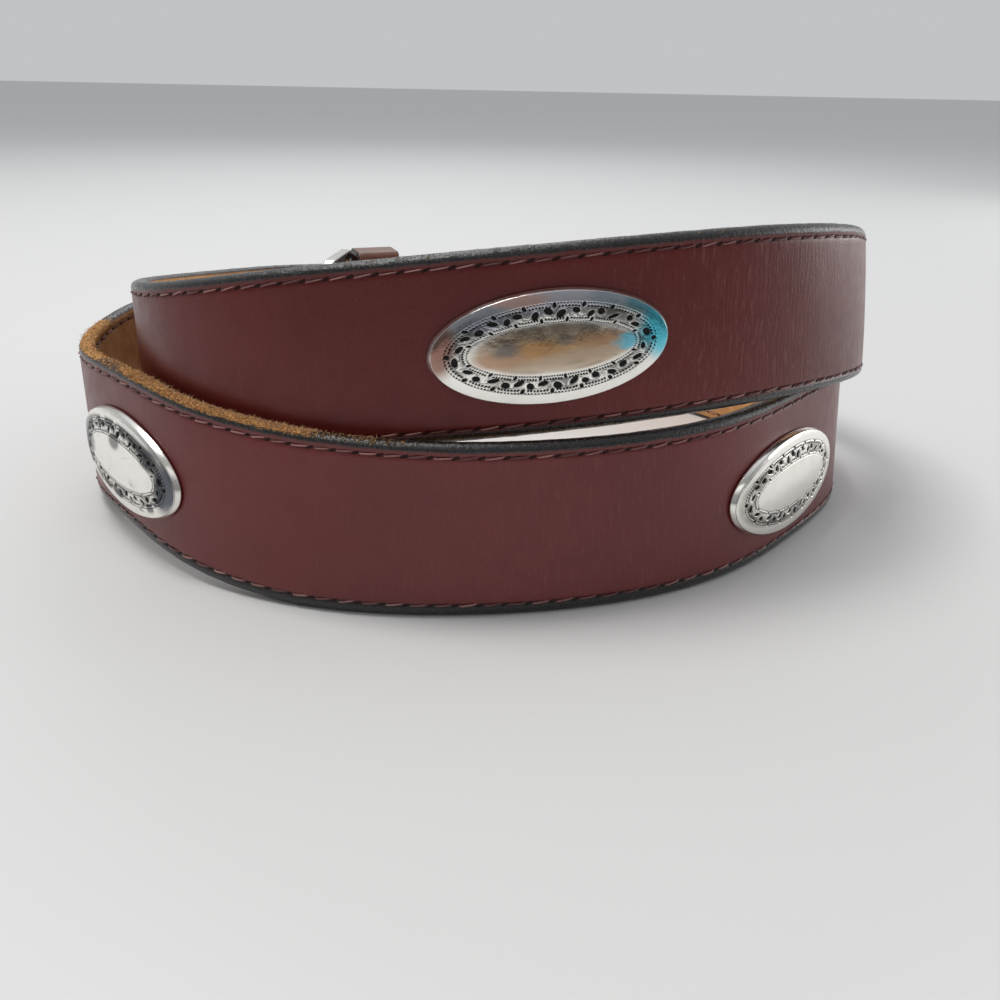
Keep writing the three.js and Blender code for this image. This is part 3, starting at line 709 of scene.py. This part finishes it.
# ---------------------------------------------------------------- conchos
CONCHO_AT = [(70.0, -1.2), (245.0, -1.9), (426.5, -1.8), (602.0, -1.2), (778.5, -1.2), (954.9, -0.6)]
HALF_L, HALF_H, RISE, SEAT = 25.2, 11.5, 2.7, 0.25
FACE = 0.965                                  # the face's edge, above the flared side wall
UNITS, PER_UNIT = 16, 40
NC = UNITS * PER_UNIT
dense = np.linspace(0, 2 * math.pi, 4001)
step = np.hypot(np.diff(19.8 * np.cos(dense)), np.diff(7.45 * np.sin(dense)))
run = np.concatenate([[0], np.cumsum(step)])
PHI = np.interp(np.arange(NC) / NC * run[-1], run, dense)
BAND = 31                                     # rings across the engraved band
V = np.concatenate([[0.1, 0.22, 0.36, 0.5, 0.64, 0.77, 0.88, 0.95, 0.985], 1 + np.arange(BAND) / (BAND - 1),
                    [2.04, 2.12, 2.26, 2.45, 2.65, 2.82, 2.93, 2.985]])


def ellipse_at(v):
    a = np.interp(v, [0, 1, 2, 3], [0, 17.0, 21.8, HALF_L * FACE])
    b = np.interp(v, [0, 1, 2, 3], [0, 5.1, 9.05, HALF_H * FACE])
    return a, b


def engraving():
    """Depth share and darkness of the stamped border, on the grid of rings and columns."""
    s = (np.arange(NC) / PER_UNIT)[None, :] + 0 * V[:, None]
    w = (V[:, None] - 1) + 0 * s
    a0, b0 = ellipse_at(1.5)
    unit = run[-1] / UNITS
    band = np.hypot(np.cos(PHI) * 4.8, np.sin(PHI) * 3.85)[None, :]
    gen = np.random.default_rng(77)

    def oval(sc, wc, la, lb, turn_):
        ds = (s - sc + UNITS / 2) % UNITS - UNITS / 2
        ds = ds * unit
        dw = (w - wc) * band
        c, d = math.cos(turn_), math.sin(turn_)
        return np.hypot((ds * c + dw * d) / la, (-ds * d + dw * c) / lb)

    pit = np.zeros_like(s)
    rim_light = np.zeros_like(s)
    for k in range(2 * UNITS):
        flip = -1 if k % 2 else 1
        e = oval((k + 0.5) / 2 + 0.05 * gen.standard_normal(), 0.5 + 0.075 * flip,
                 0.97 + 0.12 * gen.standard_normal(), 0.62 + 0.07 * gen.standard_normal(), flip * 0.42 + 0.2 * gen.standard_normal())
        pit = np.maximum(pit, 1 - smooth(0.72, 1.05, e))
        rim_light = np.maximum(rim_light, np.exp(-((e - 1.32) / 0.17) ** 2))
    for k in range(UNITS):
        e = oval(k + 0.0, 0.86, 0.46, 0.66, 0.1 * gen.standard_normal())
        pit = np.maximum(pit, 1 - smooth(0.55, 1.1, e))
        e = oval(k + 0.5, 0.14, 0.42, 0.60, 0.1 * gen.standard_normal())
        pit = np.maximum(pit, 1 - smooth(0.55, 1.1, e))
    # two rows of punched dots between the joints, bowed like small swags
    dots = np.zeros_like(s)
    for start, joint, rows, bow in ((0, 0.0, (0.75, 0.93), 0.055), (0, 0.5, (0.07, 0.25), -0.055)):
        x = (s - joint) % 1.0
        bowed = bow * (1 - (2 * x - 1) ** 2)
        for n_row, row in enumerate(rows):
            phase = ((s * 9 + 0.5 * n_row) % 1.0 - 0.5)
            dx = phase * unit / 9
            dy = (w - row - bowed) * band
            dot = 1 - smooth(0.16, 0.29, np.hypot(dx, dy))
            dots = np.maximum(dots, dot * smooth(0.07, 0.12, np.minimum(x, 1 - x)))
    # thin stem winding between the leaf pits
    stem = np.abs((w - 0.5 + 0.20 * np.cos(2 * math.pi * s * 1.0)) * band)
    stem = (1 - smooth(0.05, 0.20, stem)) * (1 - pit) * 0.8
    vein = np.abs((w - 0.5 - 0.20 * np.cos(2 * math.pi * s * 1.0)) * band)
    vein = (1 - smooth(0.04, 0.16, vein)) * (1 - pit) * 0.5
    lines_ = np.maximum(stem, vein) * ((w > 0.2) & (w < 0.8))
    in_band = smooth(0.0, 0.03, w) * (1 - smooth(0.99, 1.0, w))
    patch = Noise2(91)(s * 1.3, w * 2.0, 3)
    ground = np.clip(0.36 + 0.55 * patch, 0.08, 0.50) * smooth(0.12, 0.24, w) * (1 - smooth(0.76, 0.88, w)) \
        * (1 - 0.45 * rim_light)
    depth = 0.42 * pit + 0.17 * dots + 0.06 * lines_ - 0.06 * rim_light * in_band
    dark = np.maximum.reduce([pit, dots, 0.72 * lines_, ground])
    return depth * in_band, dark * in_band


ENGRAVED, DARK = engraving()


def film_of(style, x, y):
    """Colour of the metal's surface over one concho: x along, y up, each from -1 to 1."""
    n1, n2 = Noise2(style * 7 + 3), Noise2(style * 7 + 4)
    base = np.array([0.97, 0.95, 0.895])
    out = np.ones((len(x), 3)) * base
    ripple = n1(x * 3.1 + 9, y * 2.6 + 4, 3)
    streak = n2(x * 2.2, y * 11 + 2 * n1(x * 2, y * 2), 4)

    def stain(colour, px, py, sx, sy, amount, edge=1.0):
        nonlocal out
        d = np.hypot((x - px) / sx, (y - py) / sy) + 0.30 * ripple
        k = amount * (1 - smooth(0.55 * edge, 1.20 * edge, d))
        out = out * (1 - k[:, None]) + np.array(colour) * k[:, None]

    if style == 1:                       # heat and lacquer tints
        # the upper half is painted 6% darker: painted shade of the dome's upper part
        upper = smooth(-0.45, 0.25, y + 0.12 * ripple)
        out = out * (1 - 0.06 * upper[:, None])
        w = np.hypot(x / 0.80, y / 0.66)
        border = smooth(0.86, 0.98, w) * (1 - smooth(1.12, 1.22, w))
        k = border * smooth(-0.25, 0.75, 0.9 * y - 0.35 * x + 0.6 * n2(x * 4.0, y * 3.0, 3))
        out = out * (1 - 0.72 * k[:, None]) + np.array([0.15, 0.155, 0.16]) * 0.72 * k[:, None]
        centre = 1 - smooth(0.86, 1.02, np.hypot(x / 0.675, y / 0.443) + 0.06 * ripple)
        out = out * (1 - 0.80 * centre[:, None]) + np.array([0.50, 0.375, 0.255]) * 0.80 * centre[:, None]
        stain((0.62, 0.62, 0.70), 0.05, 0.88, 0.75, 0.26, 0.80)
        stain((0.40, 0.42, 0.50), -0.62, 0.66, 0.30, 0.30, 0.80)
        stain((0.42, 0.50, 0.56), 0.52, 0.80, 0.26, 0.22, 0.80)
        stain((0.85, 0.52, 0.42), -0.30, 0.86, 0.26, 0.13, 0.80)
        stain((0.34, 0.175, 0.135), -0.92, 0.06, 0.17, 0.56, 0.94)
        stain((0.09, 0.62, 0.78), 0.92, 0.26, 0.24, 0.62, 0.97)
        stain((0.08, 0.36, 0.46), 0.76, 0.66, 0.22, 0.22, 0.85)
        stain((0.36, 0.245, 0.145), -0.02, 0.0, 0.60, 0.34, 0.60)
        stain((0.44, 0.235, 0.085), -0.10, 0.02, 0.26, 0.17, 0.80)
        stain((0.44, 0.245, 0.125), 0.32, 0.12, 0.28, 0.15, 0.72)
        stain((0.46, 0.265, 0.165), -0.42, -0.12, 0.26, 0.17, 0.65)
        stain((0.17, 0.16, 0.155), -0.38, 0.06, 0.12, 0.15, 0.85)
        stain((0.22, 0.195, 0.17), 0.10, 0.16, 0.10, 0.12, 0.70)
        stain((0.15, 0.52, 0.68), 0.60, 0.02, 0.08, 0.16, 0.90)
        k = smooth(0.05, 0.6, streak) * (np.hypot(x / 0.64, y / 0.40) < 1)
        out = out * (1 - 0.45 * k[:, None]) + np.array([0.22, 0.165, 0.11]) * 0.45 * k[:, None]
    elif style == 2:                     # worn plating with grey patches
        w = np.hypot(x / 0.80, y / 0.66)
        border = smooth(0.88, 1.0, w) * (1 - smooth(1.18, 1.28, w))
        k = border * smooth(0.02, 0.12, n2(x * 6.5, y * 3.6, 4) + 0.42 * smooth(-0.3, 0.4, y + 0.25 * x) - 0.08)
        out = out * (1 - 0.85 * k[:, None]) + np.array([0.10, 0.10, 0.105]) * 0.85 * k[:, None]
        stain((0.115, 0.125, 0.145), 0.86, 0.02, 0.21, 0.60, 0.98, 0.95)
        stain((0.10, 0.10, 0.11), 0.60, 0.46, 0.16, 0.26, 0.90)
        stain((0.17, 0.175, 0.19), -0.93, 0.10, 0.13, 0.62, 0.90)
        stain((0.26, 0.25, 0.26), -0.66, 0.06, 0.11, 0.26, 0.85)
        stain((0.14, 0.13, 0.13), -0.02, 0.40, 0.12, 0.18, 0.85)
        patch = smooth(0.42, 0.55, n2(x * 6.5 + 3, y * 3.7, 3))
        out = out * (1 - 0.55 * patch[:, None]) + np.array([0.16, 0.155, 0.15]) * 0.55 * patch[:, None]
    else:                                # clean, slightly yellow silver tone
        w = np.hypot(x / 0.80, y / 0.66)
        border = smooth(0.86, 0.98, w) * (1 - smooth(1.12, 1.22, w))
        k = border * smooth(0.0, 0.55, 0.35 - 0.75 * x - 0.55 * y + 0.8 * n2(x * 4.0 + 5, y * 3.0, 3) - 0.25)
        out = out * (1 - 0.62 * k[:, None]) + np.array([0.21, 0.205, 0.18]) * 0.62 * k[:, None]
        patch = smooth(0.2, 0.8, n2(x * 2.0, y * 1.6, 3))
        out = out * (1 - 0.20 * patch[:, None]) + np.array([0.76, 0.72, 0.62]) * 0.20 * patch[:, None]
    rim = 0.9 * smooth(0.958, 0.970, np.hypot(x, y))[:, None]         # the side wall stays bright
    return out * (1 - rim) + base * rim


def concho_mesh(index, arc, middle, style):
    a, b = ellipse_at(V)
    x = a[:, None] * np.cos(PHI)[None, :]
    y = b[:, None] * np.sin(PHI)[None, :]
    r = np.hypot(x / (HALF_L * FACE), y / (HALF_H * FACE))
    rise = RISE - 1.08 * r ** 1.75 - 0.12 * smooth(2.6, 3.0, V)[:, None] - ENGRAVED
    dark = DARK + 0.0
    rings_x, rings_y, rings_z, rings_dark_and_shade = [x], [y], [rise], [dark]
    # the third number darkens the metal: painted shade in a thin line at the crease between face and side wall, and
    # painted contact shade at the wall's foot and under the concho; on the face it carries the engraving's dark
    # patina
    for share_, height, d in ((0.9665, 1.44, 0.30), (0.9695, 1.34, 0.55), (0.9735, 1.24, 0.10), (0.984, 0.90, 0.0),
                              (0.995, 0.56, 0.0), (1.0, 0.34, 0.10), (0.999, 0.12, 0.45), (0.992, 0.0, 0.95),
                              (0.90, 0.0, 1.0)):
        rings_x.append((HALF_L * share_ * np.cos(PHI))[None, :])
        rings_y.append((HALF_H * share_ * np.sin(PHI))[None, :])
        rings_z.append(np.full((1, NC), height))
        rings_dark_and_shade.append(np.full((1, NC), d))
    X, Y, Z, D = (np.concatenate(k) for k in (rings_x, rings_y, rings_z, rings_dark_and_shade))
    R = len(X)
    X, Y, Z, D = (np.concatenate([k.ravel(), [c, d]]) for k, c, d in (
        (X, 0, 0), (Y, 0, 0), (Z, RISE, 0), (D, 0, 1)))
    pts = on_strap(arc - X, -(SEAT + Z), STRAP_HALF + middle + Y)
    ids_ = np.arange(R * NC).reshape(R, NC)
    nx_ = np.roll(ids_, -1, 1)
    quads_ = np.stack([ids_[:-1], nx_[:-1], nx_[1:], ids_[1:]], -1).reshape(-1, 4)
    top, bottom = R * NC, R * NC + 1
    tris_ = np.concatenate([
        np.stack([np.full(NC, top), nx_[0], ids_[0]], -1),
        np.stack([np.full(NC, bottom), ids_[-1], nx_[-1]], -1)])
    obj = make_mesh(f"concho_metal_{index}", pts, quads=quads_, tris=tris_)
    put(obj, "metal_patina_and_shade", D)
    put(obj, "metal_at", np.stack([X / HALF_L, Y / HALF_H, np.full(len(X), 3.0 * index)], -1))
    put(obj, "metal_film", np.concatenate([film_of(style, X / HALF_L, Y / HALF_H), np.ones((len(X), 1))], 1))
    return obj


def concho_material(name, scratches, grime, gloss):
    g = Graph(name)
    dark, film = g.attribute("metal_patina_and_shade"), g.attribute("metal_film", "Color")
    at = g.attribute("metal_at", "Vector")
    px, py, pz = g.split(at)
    flat = g.join(g.math("MULTIPLY", px, 25.0), g.math("MULTIPLY", py, 11.75), pz)
    smudge = g.noise(flat, 0.20, 4, 0.6, 0.4)
    micro = g.noise(flat, 1.7, 4, 0.65)
    turned = g.node("ShaderNodeVectorRotate", rotation_type="Z_AXIS")
    g.feed(turned.inputs["Vector"], flat)
    turned.inputs["Angle"].default_value = 0.42
    tx, ty, tz = g.split(turned.outputs[0])
    line = g.noise(g.join(g.math("MULTIPLY", tx, 3.4), g.math("MULTIPLY", ty, 0.06), tz), 1.0, 3, 0.7, 0.25)
    turned2 = g.node("ShaderNodeVectorRotate", rotation_type="Z_AXIS")
    g.feed(turned2.inputs["Vector"], flat)
    turned2.inputs["Angle"].default_value = 1.25
    ux, uy, uz = g.split(turned2.outputs[0])
    line2 = g.noise(g.join(g.math("MULTIPLY", ux, 4.6), g.math("MULTIPLY", uy, 0.08), uz), 1.0, 2, 0.7, 0.2)
    scratch = g.math("MAXIMUM", g.ramp(line, 0.700, 0.735), g.ramp(line2, 0.715, 0.75))
    colour = g.mix(g.ramp(smudge, 0.45, 0.8, 0.0, 0.14), film, (0.42, 0.40, 0.36), "MIX")
    colour = g.mix(g.math("MULTIPLY", scratch, scratches), colour, (0.06, 0.055, 0.05))
    colour = g.mix(g.math("MULTIPLY", g.ramp(micro, 0.60, 0.78), grime), colour, (0.10, 0.095, 0.085))
    # near-black where the darkness attribute is high: the engraving's patina, and painted shade in the wall crease,
    # at the wall's foot and under the concho
    colour = g.mix(g.ramp(dark, 0.15, 0.75), colour, (0.0050, 0.0045, 0.0040))
    metal = g.ramp(dark, 0.35, 0.95, 1.0, 0.25)
    rough = g.lerp(g.ramp(smudge, 0.3, 0.75), gloss, gloss + 0.13)
    rough = g.lerp(g.ramp(dark, 0.2, 0.8), rough, 0.62)
    rough = g.lerp(scratch, rough, 0.5)
    h = g.math("ADD", g.math("MULTIPLY", smudge, 1.0), g.math("MULTIPLY", micro, 0.10))
    h = g.math("SUBTRACT", h, g.math("MULTIPLY", scratch, 0.25 * scratches))
    return g.set(Base_Color=colour, Metallic=metal, Roughness=rough, Normal=g.bump(h, 0.00012, 0.8))


metal_clean = concho_material("concho_silver_clean", 0.10, 0.05, 0.12)
metal_tinted = concho_material("concho_silver_tinted", 0.15, 0.12, 0.14)
metal_worn = concho_material("concho_silver_worn", 0.90, 0.35, 0.16)
STYLES = {1: (0, metal_clean), 2: (0, metal_clean), 3: (2, metal_worn), 4: (0, metal_clean),
          5: (2, metal_worn), 6: (1, metal_tinted)}
for i, (arc, middle) in enumerate(CONCHO_AT, 1):
    style, material = STYLES[i]
    obj = concho_mesh(i, arc, middle, style)
    obj.data.materials.append(material)
    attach(obj, "belt")
    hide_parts(f"concho_{i}")


# ---------------------------------------------------------------- keeper
def keeper_mesh():
    kx, ky, klift, knx, kny, _ = (float(v) for v in station(-5 + 7.0))
    ktx, kty = kny, -knx
    left, right, low, high = -9.0, 0.6, -1.2, 40.2
    t, radius = 2.0, 0.9
    path = []
    for x0, y0, w0 in ((right - radius, low + radius, -90), (right - radius, high - radius, 0),
                       (left + radius, high - radius, 90), (left + radius, low + radius, 180)):
        for w in np.radians(np.linspace(w0, w0 + 90, 9)):
            path.append((x0 + radius * math.cos(w), y0 + radius * math.sin(w), math.cos(w), math.sin(w)))
        nxt = None
    fine_path = []
    for i, p in enumerate(path):
        q_ = path[(i + 1) % len(path)]
        fine_path.append(p)
        gap = math.hypot(q_[0] - p[0], q_[1] - p[1])
        extra_ = int(gap // 2.2)
        for k in range(1, extra_ + 1):
            f = k / (extra_ + 1)
            fine_path.append((p[0] + (q_[0] - p[0]) * f, p[1] + (q_[1] - p[1]) * f, p[2], p[3]))
    section = []
    for w in np.linspace(-6.4, 6.4, 15):
        section.append((t, w))
    for ang in (25, 50, 72):
        section.append((t - 0.6 * (1 - math.cos(math.radians(ang))), 6.4 + 0.6 * math.sin(math.radians(ang))))
    section += [(t - 0.6, 7.0), (1.0, 7.02), (0.5, 7.0)]
    section += [(0.15, 6.85), (0.0, 6.5)]
    for w in np.linspace(5.6, -5.6, 9):
        section.append((0.0, w))
    section += [(0.0, -6.5), (0.15, -6.85), (0.5, -7.0), (1.0, -7.02), (t - 0.6, -7.0)]
    for ang in (72, 50, 25):
        section.append((t - 0.6 * (1 - math.cos(math.radians(ang))), -6.4 - 0.6 * math.sin(math.radians(ang))))
    section = np.array(section)
    K = len(section)
    n = len(fine_path)
    pts, at_, rim_ = [], [], []
    length = 0
    for i, (x0, y0, dx, dy) in enumerate(fine_path):
        out, up, w = x0 + dx * section[:, 0], y0 + dy * section[:, 0], section[:, 1]
        pts.append(np.stack([kx + knx * out + ktx * w, ky + kny * out + kty * w, klift + up], -1))
        at_.append(np.stack([np.full(K, length), w, section[:, 0]], -1))
        rim_.append(7.0 - np.abs(w))
        nxt = fine_path[(i + 1) % n]
        length += math.hypot(nxt[0] - x0, nxt[1] - y0)
    ids_ = np.arange(n * K).reshape(n, K)
    a_, b_ = ids_, np.roll(ids_, -1, 0)
    quads_ = np.stack([a_, b_, np.roll(b_, -1, 1), np.roll(a_, -1, 1)], -1).reshape(-1, 4)
    obj = make_mesh("keeper_loop", np.concatenate(pts), quads=quads_)
    put(obj, "keeper_at", np.concatenate(at_))
    put(obj, "keeper_rim", np.concatenate(rim_))
    return obj


keeper = keeper_mesh()
g = Graph("keeper_leather_brown")
at = g.attribute("keeper_at", "Vector")
rim = g.attribute("keeper_rim")
mid, fine = g.noise(at, 0.2, 4, 0.6), g.noise(at, 2.0, 5, 0.6)
colour = g.mix(g.ramp(mid, 0.3, 0.7), (0.120, 0.040, 0.022), (0.190, 0.075, 0.038))
colour = g.mix(g.ramp(fine, 0.45, 0.75, 0.0, 0.35), colour, (0.060, 0.018, 0.012))
colour = g.mix(g.ramp(g.math("ADD", rim, g.math("MULTIPLY", mid, 0.6)), 1.1, 0.5), colour, (0.010, 0.009, 0.009))
keeper.data.materials.append(g.set(
    Base_Color=colour, Roughness=g.lerp(mid, 0.36, 0.52),
    Normal=g.bump(g.math("ADD", g.math("MULTIPLY", mid, 0.6), g.math("MULTIPLY", fine, 0.25)), 0.0002, 0.8),
    Coat_Weight=0.1, Coat_Roughness=0.3))
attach(keeper, "belt")
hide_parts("keeper")


# ---------------------------------------------------------------- carried-over metal nodes
def plain_metal(name, light, dull, gloss):
    g = Graph(name)
    pos = g.node("ShaderNodeTexCoord").outputs["Object"]
    cloud, micro = g.noise(pos, 140, 4, 0.6, 0.3), g.noise(pos, 900, 4, 0.65)
    colour = g.mix(g.ramp(cloud, 0.35, 0.75), light, dull)
    colour = g.mix(g.ramp(micro, 0.58, 0.8, 0.0, 0.35), colour, (0.12, 0.11, 0.10))
    return g.set(Base_Color=colour, Metallic=1.0, Roughness=g.lerp(cloud, gloss, gloss + 0.18),
                 Normal=g.bump(g.math("ADD", cloud, g.math("MULTIPLY", micro, 0.2)), 0.00008, 0.8))


post_metal = plain_metal("post_nickel", (0.60, 0.58, 0.54), (0.36, 0.34, 0.31), 0.26)
buckle_metal = plain_metal("buckle_silver", (0.78, 0.76, 0.71), (0.55, 0.53, 0.49), 0.17)
for name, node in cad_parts.items():
    material = None
    if name.startswith("concho_post"):
        material = post_metal
    elif name.startswith("buckle"):
        material = buckle_metal
    if material:
        node.data.materials.clear()
        node.data.materials.append(material)

# ---------------------------------------------------------------- floor, light, camera
# brightness in front of and behind the belt
ROOM_LOW, ROOM_SIDES, ROOM_TOP = (0.07, 0.56), (0.27, 0.56), (0.22, 0.78)
floor_mesh = bpy.data.meshes.new("floor")
bm = bmesh.new()
bmesh.ops.create_grid(bm, x_segments=8, y_segments=8, size=6.0)
bm.to_mesh(floor_mesh)
bm.free()
floor = bpy.data.objects.new("floor", floor_mesh)
bpy.context.scene.collection.objects.link(floor)
floor.location.z = -0.0002
g = Graph("pale_floor")
floor.data.materials.append(g.set(Base_Color=(0.76, 0.76, 0.755), Roughness=0.6, Specular_IOR_Level=0.25))

world = bpy.data.worlds.new("soft_room")
bpy.context.scene.world = world
world.use_nodes = True
tree = world.node_tree
back = tree.nodes["Background"]


def world_node(kind, links, **props):
    n = tree.nodes.new(kind)
    for k, v in props.items():
        setattr(n, k, v)
    for i, v in links.items():
        if isinstance(v, bpy.types.NodeSocket):
            tree.links.new(v, n.inputs[i])
        else:
            n.inputs[i].default_value = v
    return n


# a plain pale room: bright above, middling behind the belt, dim in front of it
way = tree.nodes.new("ShaderNodeTexCoord").outputs["Generated"]
parts = world_node("ShaderNodeSeparateXYZ", {0: way}).outputs
high_part = world_node("ShaderNodeMapRange", {0: parts[2], 1: 0.45, 2: 0.97, 3: 0.0, 4: 1.0},
                       interpolation_type="SMOOTHSTEP").outputs[0]
level = [world_node("ShaderNodeMapRange", {0: parts[1], 1: -0.60, 2: 0.50, 3: front, 4: rear},
                    interpolation_type="SMOOTHSTEP").outputs[0] for front, rear in (ROOM_LOW, ROOM_SIDES, ROOM_TOP)]
side_part = world_node("ShaderNodeMapRange", {0: parts[2], 1: 0.02, 2: 0.24, 3: 0.0, 4: 1.0},
                       interpolation_type="SMOOTHSTEP").outputs[0]
sides = world_node("ShaderNodeMix", {0: side_part, 2: level[0], 3: level[1]}, data_type="FLOAT").outputs[0]
room = world_node("ShaderNodeMix", {0: high_part, 2: sides, 3: level[2]}, data_type="FLOAT").outputs[0]
tree.links.new(room, back.inputs["Strength"])
back.inputs["Color"].default_value = (0.95, 0.97, 1.0, 1.0)


def area(name, place, target, size, power, colour=(1, 1, 1), size_y=None, spread=180.0):
    light = bpy.data.lights.new(name, "AREA")
    light.energy, light.color, light.size, light.spread = power, colour, size, math.radians(spread)
    if size_y:
        light.shape, light.size_y = "RECTANGLE", size_y
    obj = bpy.data.objects.new(name, light)
    obj.location = Vector(place)
    obj.rotation_mode = "QUATERNION"
    obj.rotation_quaternion = (Vector(target) - Vector(place)).to_track_quat("-Z", "Y")
    bpy.context.scene.collection.objects.link(obj)
    return obj


area("overhead", (-0.34, 0.09, 1.10), (0, 0, 0), 0.40, 6.3, (1.0, 0.985, 0.96))
area("side_panel", (0.80, 0.34, 0.17), (0.06, -0.05, 0.06), 0.70, 1.4, (1.0, 0.99, 0.97), size_y=0.26)
area("rear_window", (-0.10, 1.00, 0.75), (0, 0, 0.05), 0.55, 2.0, (0.97, 0.985, 1.0), size_y=0.12)
area("front_pool", (0.05, -0.80, 0.60), (0.05, -0.80, 0), 0.8, 1.0, (1.0, 0.99, 0.97), spread=110.0)

theta, roll = math.radians(23.23), math.radians(1.15)
forward = Vector((0, math.cos(theta), -math.sin(theta)))
up = Vector((0, math.sin(theta), math.cos(theta)))
right_ = Vector((1, 0, 0))
cam_right = right_ * math.cos(roll) + up * math.sin(roll)
cam_up = -right_ * math.sin(roll) + up * math.cos(roll)
camera_data = bpy.data.cameras.new("camera")
camera_data.sensor_width, camera_data.lens = 36.0, 36.0
camera_data.clip_start, camera_data.clip_end = 0.01, 50.0
camera = bpy.data.objects.new("camera", camera_data)
camera.matrix_world = Matrix((
    (cam_right.x, cam_up.x, -forward.x, 5.369 * MM),
    (cam_right.y, cam_up.y, -forward.y, -282.067 * MM),
    (cam_right.z, cam_up.z, -forward.z, 106.29 * MM),
    (0, 0, 0, 1)))
bpy.context.scene.collection.objects.link(camera)
bpy.context.scene.camera = camera
bpy.context.scene.view_settings.view_transform = "Standard"
